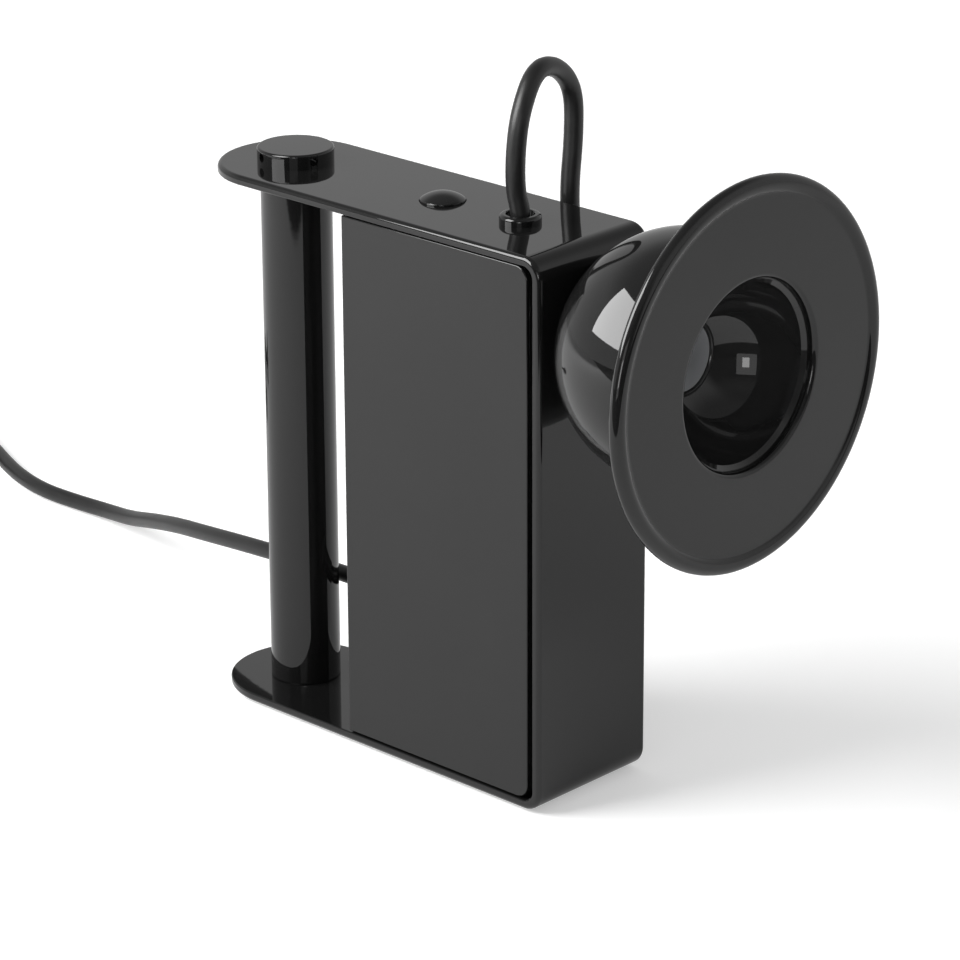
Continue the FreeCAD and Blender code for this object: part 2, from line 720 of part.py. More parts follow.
def switch_body():
    """The cup under the top plate that guides the button and holds its spring."""
    inner_r = switch_cavity_r()
    outer_r = inner_r + SWITCH_WALL
    low = CEILING_Z - SWITCH_DEPTH
    cup = cylinder(outer_r, V(BUTTON_X, 0, low), SWITCH_DEPTH)
    flange_top = BOX_HIGH_Z - CHASSIS_T
    flange = cylinder(outer_r + SWITCH_FLANGE, V(BUTTON_X, 0, flange_top - SWITCH_WALL), SWITCH_WALL)
    cup = fuse([cup, flange])
    cup = cup.cut(cylinder(inner_r, V(BUTTON_X, 0, switch_floor_top()), SWITCH_DEPTH))
    return cut(cup, [blade_block(side, FIT) for side in (-1, 1)])


def blade_block(side, growth=0.0):
    """One brass blade through the floor of the switch housing."""
    x = BUTTON_X + side * BLADE_SPACING / 2
    top = switch_floor_top() + growth
    low = top - SWITCH_FLOOR - BLADE_LENGTH
    half_t, half_w = BLADE_T / 2 + growth, BLADE_W / 2 + growth
    return block((x - half_t, -half_w, low), (x + half_t, half_w, top))


def switch_blades():
    """The two brass blades that the wires push onto."""
    return Part.Compound([blade_block(side) for side in (-1, 1)])


def button_spring():
    """The coil spring between the floor of the switch housing and the button's lip."""
    low = switch_floor_top() + SPRING_WIRE_R
    high = button_lip_top() - BUTTON_LIP_T - SPRING_WIRE_R
    spring_r = SPRING_R + SPRING_WIRE_R
    pitch = (high - low) / SPRING_TURNS
    helix = Part.makeHelix(pitch, high - low, spring_r)
    section = Part.Wire(Part.Circle(V(spring_r, 0, 0), Y_AXIS, SPRING_WIRE_R).toShape())
    spring = Part.Wire(helix).makePipeShell([section], True, True)
    return spring.translate(V(BUTTON_X, 0, low))


# ================================================================ cable bush
def top_bush():
    """The round bush that the head lead comes out of, with its threaded sleeve."""
    collar = cylinder(BUSH_R, V(BUSH_X, 0, TOP_Z), BUSH_H)
    rim = [e for e in collar.Edges if e.BoundBox.ZMin > TOP_Z + BUSH_H - 1e-6 and e.Closed]
    collar = collar.makeFillet(BUSH_EDGE_R, rim)
    sleeve_low = CEILING_Z - PANEL_GAP - CHASSIS_T - BUSH_THREAD
    sleeve = cylinder(BUSH_SLEEVE_R, V(BUSH_X, 0, sleeve_low), TOP_Z - sleeve_low)
    bore = cylinder(LEAD_R + FIT, V(BUSH_X, 0, sleeve_low - 1), TOP_Z + BUSH_H + 2 - sleeve_low)
    recess = cylinder(BUSH_RECESS_R, V(BUSH_X, 0, LEAD_START_Z), 2 * BUSH_RECESS)
    return cut(fuse([collar, sleeve]), [bore, recess])


def bush_nut():
    """The hexagonal nut that holds the bush under the roof of the box."""
    top = BOX_HIGH_Z - CHASSIS_T
    corners = []
    for k in range(7):
        turn = math.radians(60 * k)
        corners.append(V(BUSH_X + BUSH_NUT_R * math.cos(turn), BUSH_NUT_R * math.sin(turn), top - BUSH_NUT_H))
    nut = Part.Face(Part.makePolygon(corners)).extrude(V(0, 0, BUSH_NUT_H))
    return nut.cut(cylinder(BUSH_SLEEVE_R, V(BUSH_X, 0, top - BUSH_NUT_H), BUSH_NUT_H))


# ================================================================ magnetic ball seat
def seat_back_x():
    """Where the seat's flange meets the back of the front strip."""
    return FRONT_X - STRIP_T


def magnet_seat():
    """The flanged cup behind the front strip: it holds the magnet close behind the ball."""
    back = seat_back_x() - SEAT_FLANGE_T
    flange = cylinder(SEAT_FLANGE_R, V(back, 0, BALL_Z), SEAT_FLANGE_T, X_AXIS)
    magnet_rear = magnet_front_x() - MAGNET_T
    cup_rear = magnet_rear - SEAT_CUP_FLOOR
    cup = cylinder(MAGNET_R + SEAT_CUP_WALL, V(cup_rear, 0, BALL_Z), back - cup_rear, X_AXIS)
    pocket = cylinder(MAGNET_R + FIT, V(magnet_rear, 0, BALL_Z), 2 * MAGNET_T, X_AXIS)
    seat = fuse([flange, cup]).cut(pocket)
    return cut(seat, [drill(SEAT_SCREW_R, V(back, y, z), X_AXIS) for y, z in seat_screw_places()])


def magnet_front_x():
    """The magnet's front face, clear of the ball's nearest point by the running gap."""
    return BALL_X - BALL_R - RUNNING_GAP


def magnet():
    """The disc magnet in the seat."""
    return cylinder(MAGNET_R, V(magnet_front_x() - MAGNET_T, 0, BALL_Z), MAGNET_T, X_AXIS)


def seat_screw_places():
    """The three screws round the seat's flange, as (y, z)."""
    return [(y, BALL_Z + z) for y, z in around(SEAT_SCREWS, SEAT_SCREW_CIRCLE_R, 90.0)]


def seat_screw_hole(y, z):
    """A blind threaded hole in the back of the front strip."""
    return cylinder(SEAT_SCREW_R, V(seat_back_x(), y, z), SEAT_THREAD_DEPTH, X_AXIS)


def seat_screws():
    """Three small screws that hold the seat to the back of the front strip."""
    screws = []
    back = seat_back_x() - SEAT_FLANGE_T
    for y, z in seat_screw_places():
        shank = cylinder(SEAT_SCREW_R, V(back, y, z), SEAT_FLANGE_T + SEAT_THREAD_DEPTH, X_AXIS)
        head = cylinder(SEAT_SCREW_HEAD_R, V(back - SEAT_SCREW_HEAD_H, y, z), SEAT_SCREW_HEAD_H, X_AXIS)
        screws.append(fuse([shank, head]))
    return Part.Compound(screws)


def glide_ring():
    """The low-friction ring that the ball rests in, free to turn in the front strip."""
    rear = seat_back_x() + RUNNING_GAP
    body = ring(GLIDE_R, GLIDE_BORE_R, V(rear, 0, BALL_Z), 2 * STRIP_T, X_AXIS)
    return body.cut(Part.makeSphere(BALL_R + RUNNING_GAP, BALL))


# ================================================================ head
def shell_edge_r(radius):
    """Radius of a sphere's section where the brim's rear face cuts it."""
    return math.sqrt(radius**2 - BRIM_REAR**2)


def head_shell():
    """The spun ball, open at the front where the brim closes it, with a hole for the gland."""
    inner_r = BALL_R - SHELL_T
    outer_edge = (BRIM_REAR, shell_edge_r(BALL_R))
    inner_edge = (BRIM_REAR, shell_edge_r(inner_r))
    profile = [
        arc(outer_edge, on_circle(BALL_R, 110), (-BALL_R, 0)),
        line((-BALL_R, 0), (-inner_r, 0)),
        arc((-inner_r, 0), on_circle(inner_r, 110), inner_edge),
        line(inner_edge, outer_edge),
    ]
    shell = in_head(revolved(profile))
    return shell.cut(gland_bar(HEAD_GLAND_R + FIT, BALL_R - 2 * SHELL_T, 4 * SHELL_T))


def brim():
    """The flat annular brim with its rolled outer bead and its rounded mouth."""
    rear = BRIM_REAR
    bead_r = BRIM_R - BEAD_W
    collar_r = MOUTH_R + COLLAR_T
    collar_end = REFLECTOR_X - REFLECTOR_RIM_DEPTH
    round_r = MOUTH_R + MOUTH_ROUND
    round_mid = on_circle(MOUTH_ROUND, 315, (BRIM_FACE - MOUTH_ROUND, round_r))
    profile = [
        line((BRIM_FACE, round_r), (BRIM_FACE, bead_r)),
        line((BRIM_FACE, bead_r), (rear, bead_r)),
        line((rear, bead_r), (rear, collar_r)),
        line((rear, collar_r), (collar_end, collar_r)),
        line((collar_end, collar_r), (collar_end, MOUTH_R)),
        line((collar_end, MOUTH_R), (BRIM_FACE - MOUTH_ROUND, MOUTH_R)),
        arc((BRIM_FACE - MOUTH_ROUND, MOUTH_R), round_mid, (BRIM_FACE, round_r)),
    ]
    return in_head(fuse([revolved(profile), rolled_bead(bead_r)]))


def rolled_bead(bead_r):
    """The rolled outer edge of the brim: an oval wire's section taken round the axis."""
    centre_x = BRIM_FACE + BEAD_PROUD - BEAD_DEPTH
    inner, outer = (centre_x, bead_r - BEAD_W), (centre_x, bead_r + BEAD_W)
    front, back = (centre_x + BEAD_DEPTH, bead_r), (centre_x - BEAD_DEPTH, bead_r)
    return revolved([arc(inner, front, outer), arc(outer, back, inner)])


def on_bowl(radius, distance):
    """The (x, radius) point at a distance from the axis on a half sphere behind the bowl's mouth."""
    return (REFLECTOR_X - math.sqrt(radius**2 - distance**2), distance)


def reflector():
    """The polished half-round bowl inside the ball, with a bevelled lip that fits the brim's collar."""
    lip_r = REFLECTOR_R + REFLECTOR_LIP
    outer_r = REFLECTOR_R + REFLECTOR_T
    fit_r = MOUTH_R - FIT
    hole_r = BARREL_R + FIT
    lip_front = REFLECTOR_X + REFLECTOR_LIP_DEPTH
    rim_back = REFLECTOR_X - REFLECTOR_RIM_DEPTH
    rim_inner = (rim_back, math.sqrt(outer_r**2 - REFLECTOR_RIM_DEPTH**2))
    bowl_in, bowl_out = on_bowl(REFLECTOR_R, hole_r), on_bowl(outer_r, hole_r)
    centre = (REFLECTOR_X, 0.0)
    profile = [
        line((REFLECTOR_X, REFLECTOR_R), (lip_front, lip_r)),
        line((lip_front, lip_r), (lip_front, fit_r)),
        line((lip_front, fit_r), (rim_back, fit_r)),
        line((rim_back, fit_r), rim_inner),
        arc(rim_inner, on_circle(outer_r, 130, centre), bowl_out),
        line(bowl_out, bowl_in),
        arc(bowl_in, on_circle(REFLECTOR_R, 130, centre), (REFLECTOR_X, REFLECTOR_R)),
    ]
    return in_head(revolved(profile))


def barrel_rear_x():
    """Where the barrel's foot meets the inside of the ball."""
    return -math.sqrt((BALL_R - SHELL_T) ** 2 - BARREL_FOOT_R**2)


def lamp_barrel():
    """The metal barrel that carries the light source and takes its heat back to the shell."""
    rear = barrel_rear_x()
    front = LAMP_FRONT - LENS_T
    foot = cylinder(BARREL_FOOT_R, V(rear, 0, 0), BARREL_FOOT_T, X_AXIS)
    foot = foot.common(Part.makeSphere(BALL_R - SHELL_T))
    barrel = cylinder(BARREL_R, V(rear, 0, 0), front - rear, X_AXIS)
    board_x = board_back_x()
    bore = cylinder(BARREL_BORE_R, V(board_x, 0, 0), front - board_x, X_AXIS)
    wire_way = cylinder(HEAD_WIRE_SPACING, V(wire_turn_x(), 0, 0), board_x - wire_turn_x(), X_AXIS)
    side_way = cylinder(HEAD_WIRE_SPACING, V(wire_turn_x(), -HEAD_WIRE_SPACING, 0), 2 * BARREL_R, Y_AXIS)
    return in_head(cut(fuse([foot, barrel]), [bore, wire_way, side_way] + local_holder_studs()))


def board_back_x():
    """Where the light source's board rests in the barrel."""
    return LAMP_FRONT - LENS_T - BOARD_DEPTH


def led_board():
    """The round board with its light-emitting patch."""
    board = cylinder(LED_BOARD_R, V(board_back_x(), 0, 0), LED_BOARD_T, X_AXIS)
    chip = cylinder(LED_CHIP_R, V(board_back_x() + LED_BOARD_T, 0, 0), LED_CHIP_T, X_AXIS)
    return in_head(fuse([board, chip]))


def lens():
    """The frosted lens, slightly domed."""
    disc = cylinder(LENS_R, V(LAMP_FRONT - LENS_T, 0, 0), LENS_T, X_AXIS)
    dome_r = (LENS_R**2 + LENS_DOME**2) / (2 * LENS_DOME)
    dome = Part.makeSphere(dome_r, V(LAMP_FRONT + LENS_DOME - dome_r, 0, 0))
    dome = dome.common(cylinder(LENS_R, V(LAMP_FRONT, 0, 0), 2 * LENS_DOME, X_AXIS))
    return in_head(fuse([disc, dome]))


def lens_bezel():
    """The ring that slips over the barrel and holds the lens."""
    back = on_bowl(REFLECTOR_R, BEZEL_R)[0] + FIT
    sleeve = ring(BEZEL_R, BARREL_R + FIT, V(back, 0, 0), LAMP_FRONT - LENS_T - back, X_AXIS)
    head_start = LAMP_FRONT - LENS_T
    collar = ring(BEZEL_R, LENS_R + FIT, V(head_start, 0, 0), LENS_T + BEZEL_LIP, X_AXIS)
    ring_shape = fuse([sleeve, collar])
    rim = [e for e in ring_shape.Edges if e.BoundBox.XMin > LAMP_FRONT + BEZEL_LIP - 1e-6 and e.Closed]
    return in_head(ring_shape.makeFillet(BEZEL_EDGE_R, rim))


def local_holder_studs():
    """The two studs that stand on the inside of the ball and reach into the barrel's foot."""
    studs = []
    for y, z in around(2, HOLDER_STUD_CIRCLE_R, 90.0):
        root_x = -math.sqrt((BALL_R - SHELL_T) ** 2 - (HOLDER_STUD_CIRCLE_R + HOLDER_STUD_R) ** 2)
        bar = cylinder(HOLDER_STUD_R, V(root_x - SHELL_T, y, z), HOLDER_STUD_LENGTH + SHELL_T, X_AXIS)
        studs.append(bar.common(Part.makeSphere(BALL_R - SHELL_T)))
    return studs


def holder_studs():
    """Two studs welded to the inside of the ball that the barrel screws onto."""
    return in_head(Part.Compound(local_holder_studs()))


def gland_direction():
    """Which way the head gland points from the ball's centre."""
    turn = math.radians(HEAD_GLAND_ANGLE)
    return V(math.cos(turn), math.sin(turn), 0)


def wire_turn_x():
    """Where the wires turn from the inside of the shell into the barrel."""
    return -math.sqrt(wire_shell_r() ** 2 - BARREL_R**2)


def wire_shell_r():
    """How far from the ball's centre the wires run, close inside the shell."""
    return BALL_R - SHELL_T - HEAD_WIRE_DEPTH


def gland_bar(radius, start, length):
    """A round bar along the gland's axis, from a distance out of the ball's centre."""
    outward = gland_direction()
    return cylinder(radius, BALL + outward * start, length, outward)


def gland_inner():
    """Distance from the ball's centre to the inner face of the gland's flange."""
    return BALL_R - SHELL_T - GLAND_FLANGE_DEPTH


def gland_outer():
    """Distance from the ball's centre to the gland's tip."""
    return BALL_R + RUNNING_GAP + HEAD_GLAND_LENGTH


def head_gland():
    """The tapered strain relief on the ball, held by a flange inside the shell."""
    outward = gland_direction()
    flange_out = math.sqrt((BALL_R - SHELL_T) ** 2 - GLAND_FLANGE_R**2) - FIT
    flange = gland_bar(GLAND_FLANGE_R, gland_inner(), flange_out - gland_inner())
    neck = gland_bar(HEAD_GLAND_R, gland_inner(), BALL_R + RUNNING_GAP - gland_inner())
    taper_start = BALL + outward * (BALL_R + RUNNING_GAP)
    taper = cone(HEAD_GLAND_R + GLAND_SHOULDER, HEAD_GLAND_TIP_R, taper_start, HEAD_GLAND_LENGTH, outward)
    bore = gland_bar(LEAD_R + RUNNING_GAP, gland_inner(), gland_outer() - gland_inner())
    return cut(fuse([flange, neck, taper]), [bore, in_head(wire_runs(HEAD_WIRE_R + FIT))])


def wire_runs(radius):
    """The way of the two wires from the gland, behind the bowl, into the barrel and forward in it."""
    runs = []
    gap_r = wire_shell_r()
    first = math.radians(HEAD_GLAND_ANGLE)
    last = math.pi - math.asin((BARREL_FOOT_R + HEAD_WIRE_R) / gap_r)
    heading = V(-math.sin(first), math.cos(first), 0)
    for side in (-1, 1):
        z = side * HEAD_WIRE_SPACING / 2
        points = [V(gap_r * math.cos(a), gap_r * math.sin(a), z) for a in (first, (first + last) / 2, last)]
        turn = V(wire_turn_x(), 0, z)
        section = Part.Wire(Part.Circle(points[0], heading, radius).toShape())
        bend = Part.Wire(Part.Arc(*points).toShape()).makePipeShell([section], True, False)
        inward = cylinder(radius, points[2], (turn - points[2]).Length, turn - points[2])
        forward = cylinder(radius, turn, board_back_x() - turn.x, X_AXIS)
        elbows = [Part.makeSphere(radius, point) for point in (points[2], turn)]
        runs.append(fuse([bend, inward, forward] + elbows))
    return Part.Compound(runs)


def head_wires():
    """The lead's two wires inside the ball."""
    return in_head(wire_runs(HEAD_WIRE_R))


def head_lead():
    """The stiff lead that loops from the bush into the head."""
    route = [(BUSH_X, 0, LEAD_START_Z)] + HEAD_LEAD_ROUTE
    outward = gland_direction()
    before_tip = BALL + outward * (gland_outer() + GLAND_STRAIGHT)
    inside = BALL + outward * (wire_shell_r() + HEAD_WIRE_R + RUNNING_GAP)
    route += [tuple(before_tip), tuple(inside)]
    return cord_tube(route, LEAD_R, "head_lead")


# ================================================================ inside the box
def driver_low():
    """Lowest corner of the driver, on its tray against the near cover."""
    middle_x = (BOX_REAR_X + BOX_FRONT_X) / 2
    return V(middle_x - DRIVER_LENGTH / 2, -CHASSIS_HALF_W + TRAY_T, BOX_LOW_Z + CHASSIS_T + DRIVER_LIFT)


def led_driver():
    """The enclosed driver that feeds the light source."""
    low = driver_low()
    high = low + V(DRIVER_LENGTH, DRIVER_THICKNESS, DRIVER_HEIGHT)
    return rounded_box(tuple(low), tuple(high), DRIVER_CORNER_R, Y_AXIS)


def driver_tray():
    """The folded tray that holds the driver to the near cover."""
    low = driver_low()
    high = low + V(DRIVER_LENGTH, 0, DRIVER_HEIGHT)
    margin = TRAY_T + FIT
    sheet = block((low.x, -CHASSIS_HALF_W, low.z - margin), (high.x, low.y, high.z + margin))
    lips = []
    for z in (low.z - margin, high.z + FIT):
        start = (low.x + DRIVER_CORNER_R, -CHASSIS_HALF_W, z)
        end = (high.x - DRIVER_CORNER_R, low.y + TRAY_LIP, z + TRAY_T)
        lips.append(block(start, end))
    return fuse([sheet] + lips)


def terminal_low():
    """Lowest corner of the terminal block, in line with the mains cord."""
    x = BOX_REAR_X + TERMINAL_SETBACK + CLAMP_LENGTH
    return V(x, CORD_EXIT_Y - TERMINAL_DEPTH / 2, CORD_EXIT_Z - TERMINAL_HEIGHT / 2)


def terminal_wells():
    """Where the clamping screws stand in the terminal block, as (x, y)."""
    low = terminal_low()
    xs = [low.x + TERMINAL_LENGTH * (k + 0.5) / TERMINAL_WAYS for k in range(TERMINAL_WAYS)]
    ys = (low.y + TERMINAL_DEPTH / 4, low.y + TERMINAL_DEPTH * 3 / 4)
    return [(x, y) for x in xs for y in ys]


def terminal_block():
    """The terminal block that joins the mains cord, the driver and the head lead."""
    low = terminal_low()
    body = block(tuple(low), tuple(low + V(TERMINAL_LENGTH, TERMINAL_DEPTH, TERMINAL_HEIGHT)))
    bottom = low.z + TERMINAL_HEIGHT / 2
    wells = [cylinder(TERMINAL_SCREW_R + FIT, V(x, y, bottom), TERMINAL_HEIGHT) for x, y in terminal_wells()]
    return cut(body, wells)


def terminal_screws():
    """The slotted clamping screws of the terminal block."""
    top = terminal_low().z + TERMINAL_HEIGHT - TERMINAL_SCREW_SINK
    length = TERMINAL_HEIGHT / 2 - TERMINAL_SCREW_SINK
    reach, half_slot = TERMINAL_SCREW_R, TERMINAL_SLOT_W / 2
    screws = []
    for x, y in terminal_wells():
        body = cylinder(TERMINAL_SCREW_R, V(x, y, top - length), length)
        slot = block((x - reach, y - half_slot, top - TERMINAL_SCREW_SINK), (x + reach, y + half_slot, top))
        screws.append(body.cut(slot))
    return Part.Compound(screws)


def clamp_rear_x():
    """Where the cord clamp starts, one clamp length behind the terminal block."""
    return terminal_low().x - 2 * CLAMP_LENGTH


def wiring_bracket():
    """The moulded stand on the floor of the box with the cord clamp's saddle and the terminals' table."""
    low = terminal_low()
    floor_z = BOX_LOW_Z + CHASSIS_T
    y0, y1 = low.y, low.y + TERMINAL_DEPTH
    x0, x1 = clamp_rear_x(), low.x + TERMINAL_LENGTH
    foot = block((x0, y0, floor_z), (x1, y1, floor_z + BRACKET_T))
    saddle = block((x0, y0 - CLAMP_SCREW_OFFSET / 2, floor_z), (x0 + CLAMP_LENGTH, y1, CORD_EXIT_Z))
    table = block((low.x, y0, low.z - BRACKET_T), (x1, y1, low.z))
    legs = [block((x, y0, floor_z), (x + BRACKET_T, y1, low.z)) for x in (low.x, x1 - BRACKET_T)]
    return cut(fuse([foot, saddle, table] + legs), [cord_bore(), clamp_screw_bar(CLAMP_SCREW_R)])


def cord_bore():
    """The round way through the clamp for the mains cord."""
    start = V(clamp_rear_x(), CORD_EXIT_Y, CORD_EXIT_Z)
    return cylinder(CORD_R + FIT, start, CLAMP_LENGTH, X_AXIS)


def cord_clamp():
    """The bridge that presses the mains cord into its saddle."""
    low = terminal_low()
    x0 = clamp_rear_x()
    y0, y1 = low.y - CLAMP_SCREW_OFFSET / 2, low.y + TERMINAL_DEPTH
    bridge = block((x0, y0, CORD_EXIT_Z), (x0 + CLAMP_LENGTH, y1, clamp_top()))
    return cut(bridge, [cord_bore(), clamp_screw_bar(CLAMP_SCREW_R)])


def clamp_top():
    """Height of the top of the clamp's bridge."""
    return CORD_EXIT_Z + CORD_R + CLAMP_BRIDGE


def clamp_screw_top():
    """Where the clamp's screw goes in, beside the cord."""
    return V(clamp_rear_x() + CLAMP_LENGTH / 2, CORD_EXIT_Y - CLAMP_SCREW_OFFSET, clamp_top())


def clamp_screw_bar(radius):
    """The bar that the clamp's screw fills."""
    return cylinder(radius, clamp_screw_top(), CLAMP_SCREW_LENGTH, -Z_AXIS)


def clamp_screw():
    """The pan-head screw of the cord clamp."""
    head = cylinder(CLAMP_SCREW_HEAD_R, clamp_screw_top(), CLAMP_SCREW_HEAD_H)
    return fuse([clamp_screw_bar(CLAMP_SCREW_R), head])


def inner_mains():
    """The mains cord inside the box, from the gland's tip through the clamp to the terminals."""
    start = V(BOX_REAR_X - MAINS_GLAND_LENGTH, CORD_EXIT_Y, CORD_EXIT_Z)
    return cylinder(CORD_R, start, terminal_low().x - start.x, X_AXIS)


def inner_lead():
    """The head lead inside the box, from the bush down past the driver to the terminals."""
    end = (terminal_low().x + TERMINAL_LENGTH, CORD_EXIT_Y, CORD_EXIT_Z)
    route = [(BUSH_X, 0, LEAD_START_Z)] + INNER_LEAD_ROUTE + [end]
    return cord_tube(route, LEAD_R, "inner_lead")


def driver_wires():
    """Two wires from the bottom of the driver to the near side of the terminal block."""
    low = terminal_low()
    start = driver_low()
    wires = []
    for side in (-1, 1):
        x = low.x + (TERMINAL_LENGTH + side * WIRE_SPACING) / 2
        bend = [(x, y, z) for y, z in DRIVER_WIRE_BEND]
        route = [(x, bend[0][1], start.z)] + bend + [(x, low.y, bend[-1][2])]
        wires.append(cord_tube(route, WIRE_R, "driver_wires"))
    return Part.Compound(wires)


def switch_wires():
    """Two wires from the switch blades to the top of the driver."""
    blade_low = switch_floor_top() - SWITCH_FLOOR - BLADE_LENGTH
    low = driver_low()
    driver_top = low.z + DRIVER_HEIGHT
    wires = []
    for side in (-1, 1):
        x = BUTTON_X + side * BLADE_SPACING / 2
        end_x = low.x + DRIVER_LENGTH / 3 + side * BLADE_SPACING / 2
        end = V(end_x, low.y + DRIVER_THICKNESS / 2, driver_top)
        route = [
            (x, 0, blade_low),
            (x, 0, blade_low - WIRE_STRAIGHT),
            (end.x, end.y, end.z + WIRE_STRAIGHT),
            tuple(end),
        ]
        wires.append(cord_tube(route, WIRE_R, "switch_wires"))
    return Part.Compound(wires)


# ================================================================ mains cord
def mains_gland():
    """The long tapered strain relief through the rear wall of the box."""
    at = V(BOX_REAR_X, CORD_EXIT_Y, CORD_EXIT_Z)
    outside = ring(MAINS_GLAND_FLANGE_R, MAINS_GLAND_TIP_R, at, MAINS_GLAND_FLANGE_T, -X_AXIS)
    boot = cone(MAINS_GLAND_R, MAINS_GLAND_TIP_R, at, MAINS_GLAND_LENGTH, -X_AXIS)
    neck = cylinder(MAINS_GLAND_R, at, CHASSIS_T, X_AXIS)
    inside = cylinder(MAINS_GLAND_FLANGE_R, at + V(CHASSIS_T, 0, 0), MAINS_GLAND_FLANGE_T, X_AXIS)
    tip = at - V(MAINS_GLAND_LENGTH, 0, 0)
    bore = cylinder(CORD_R + FIT, tip, MAINS_GLAND_LENGTH + CHASSIS_T + MAINS_GLAND_FLANGE_T, X_AXIS)
    return fuse([outside, boot, neck, inside]).cut(bore)


def coil_point(radius, angle, z):
    """A point of the coil's turns."""
    turn = math.radians(angle)
    return (COIL_CENTRE_X + radius * math.cos(turn), COIL_CENTRE_Y + radius * math.sin(turn), z)


def mains_cord():
    """The mains cord from the gland to where it enters the coil."""
    start = (BOX_REAR_X - MAINS_GLAND_LENGTH, CORD_EXIT_Y, CORD_EXIT_Z)
    end = coil_point(COIL_OUTER_TURN_R, CORD_ENTRY_ANGLE, CORD_R + CORD_LIFT)
    return cord_tube([start] + MAINS_ROUTE + [end], CORD_R, "mains_cord")


def coil_width():
    """How wide the turns of the coil are side by side."""
    return 2 * CORD_R * COIL_TURNS_WIDE


def coil_height():
    """How high the layers of the coil are."""
    return 2 * CORD_R * COIL_LAYERS


def mains_coil():
    """The put-away length of the cord: one ring with the outer shape of its turns."""
    outer = COIL_OUTER_TURN_R + CORD_R
    middle = V(COIL_CENTRE_X, COIL_CENTRE_Y, 0)
    coil = ring(outer, outer - coil_width(), middle, coil_height())
    rims = [e for e in coil.Edges if e.Closed and e.BoundBox.ZLength < 1e-6]
    return coil.makeFillet(COIL_EDGE_R, rims)


def coil_tie():
    """The flat tie that holds the turns together."""
    reach = coil_width() / 2 + TIE_T
    top = coil_height() + TIE_T
    loop = rounded_box((-reach, -TIE_W / 2, 0), (reach, TIE_W / 2, top), COIL_EDGE_R, Y_AXIS)
    middle_r = COIL_OUTER_TURN_R + CORD_R - coil_width() / 2
    turn = FreeCAD.Rotation(Z_AXIS, TIE_ANGLE)
    loop.Placement = FreeCAD.Placement(V(*coil_point(middle_r, TIE_ANGLE, 0)), turn)
    return loop.cut(mains_coil())


def mains_tail():
    """The last stretch of cord, from the top of the coil to the plug."""
    start = coil_point(COIL_OUTER_TURN_R, CORD_LEAVE_ANGLE, coil_height() - CORD_R - CORD_LIFT)
    end = (PLUG_X, PLUG_END_Y, PLUG_H / 2)
    return cord_tube([start] + TAIL_ROUTE + [end], CORD_R, "mains_tail")


def plug_body():
    """The flat two-pin plug with its tapered boot."""
    back_y = PLUG_END_Y - PLUG_BOOT_LENGTH
    front_y = back_y - PLUG_LENGTH
    shoulder_y = back_y - PLUG_SHOULDER
    outline = [
        V(PLUG_X - PLUG_REAR_W / 2, back_y, 0),
        V(PLUG_X + PLUG_REAR_W / 2, back_y, 0),
        V(PLUG_X + PLUG_W / 2, shoulder_y, 0),
        V(PLUG_X + PLUG_W / 2, front_y, 0),
        V(PLUG_X - PLUG_W / 2, front_y, 0),
        V(PLUG_X - PLUG_W / 2, shoulder_y, 0),
        V(PLUG_X - PLUG_REAR_W / 2, back_y, 0),
    ]
    body = Part.Face(Part.makePolygon(outline)).extrude(V(0, 0, PLUG_H))
    upright = [e for e in body.Edges if e.BoundBox.ZLength > PLUG_H - 1e-6]
    body = body.makeFillet(PLUG_CORNER_R, upright)
    boot_at = V(PLUG_X, PLUG_END_Y, PLUG_H / 2)
    boot = cone(PLUG_BOOT_TIP_R, PLUG_BOOT_R, boot_at, PLUG_BOOT_LENGTH + FIT, -Y_AXIS)
    return cut(fuse([body, boot]), [pin_bar(side) for side in (-1, 1)])


def pin_bar(side):
    """A round pin that starts inside the plug."""
    front_y = PLUG_END_Y - PLUG_BOOT_LENGTH - PLUG_LENGTH
    start = V(PLUG_X + side * PIN_SPACING / 2, front_y + PIN_ROOT, PLUG_H / 2)
    return cylinder(PIN_R, start, PIN_ROOT + PIN_LENGTH, -Y_AXIS)


def plug_pins():
    """The two round pins with domed ends."""
    pins = []
    for side in (-1, 1):
        pin = pin_bar(side)
        tip_y = pin.BoundBox.YMin
        rim = [e for e in pin.Edges if e.Closed and e.BoundBox.YMax < tip_y + 1e-6]
        pins.append(pin.makeFillet(PIN_TIP_R, rim))
    return Part.Compound(pins)


# ================================================================ all sub-parts
NODES = [
    c_frame, base_pad, base_screws, grip_post, tie_rod, grip_cap, foot_nut,
    chassis, side_cover_near, side_cover_far, cover_standoffs, cover_screws,
    push_button, switch_body, switch_blades, button_spring,
    top_bush, bush_nut, magnet_seat, magnet, seat_screws, glide_ring,
    led_driver, driver_tray, terminal_block, terminal_screws, wiring_bracket, cord_clamp, clamp_screw,
    inner_mains, inner_lead, driver_wires, switch_wires,
    mains_gland, mains_cord, mains_coil, coil_tie, mains_tail, plug_body, plug_pins,
    head_shell, brim, reflector, lamp_barrel, led_board, lens, lens_bezel, holder_studs,
    head_gland, head_wires, head_lead,
]


def main():
    """Builds every sub-part and writes one STEP file for each."""
    os.makedirs("parts", exist_ok=True)
    for make in NODES:
        shape = make()
        shape.exportStep(os.path.join("parts", make.__name__ + ".step"))
        solids = len(shape.Solids)
        print(make.__name__, "solids", solids, "valid", shape.isValid(), "volume", round(shape.Volume, 1))


main()
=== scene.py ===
"""Dresses the tabletop searchlight lamp: its shapes, finishes, cords, studio and camera.

Sizes in the classes are millimetres unless a comment says otherwise. Meshes are in metres.
"""

import json
import logging
import math
from contextlib import contextmanager
from dataclasses import dataclass, field
from enum import Enum
from typing import Callable, Iterator, Sequence

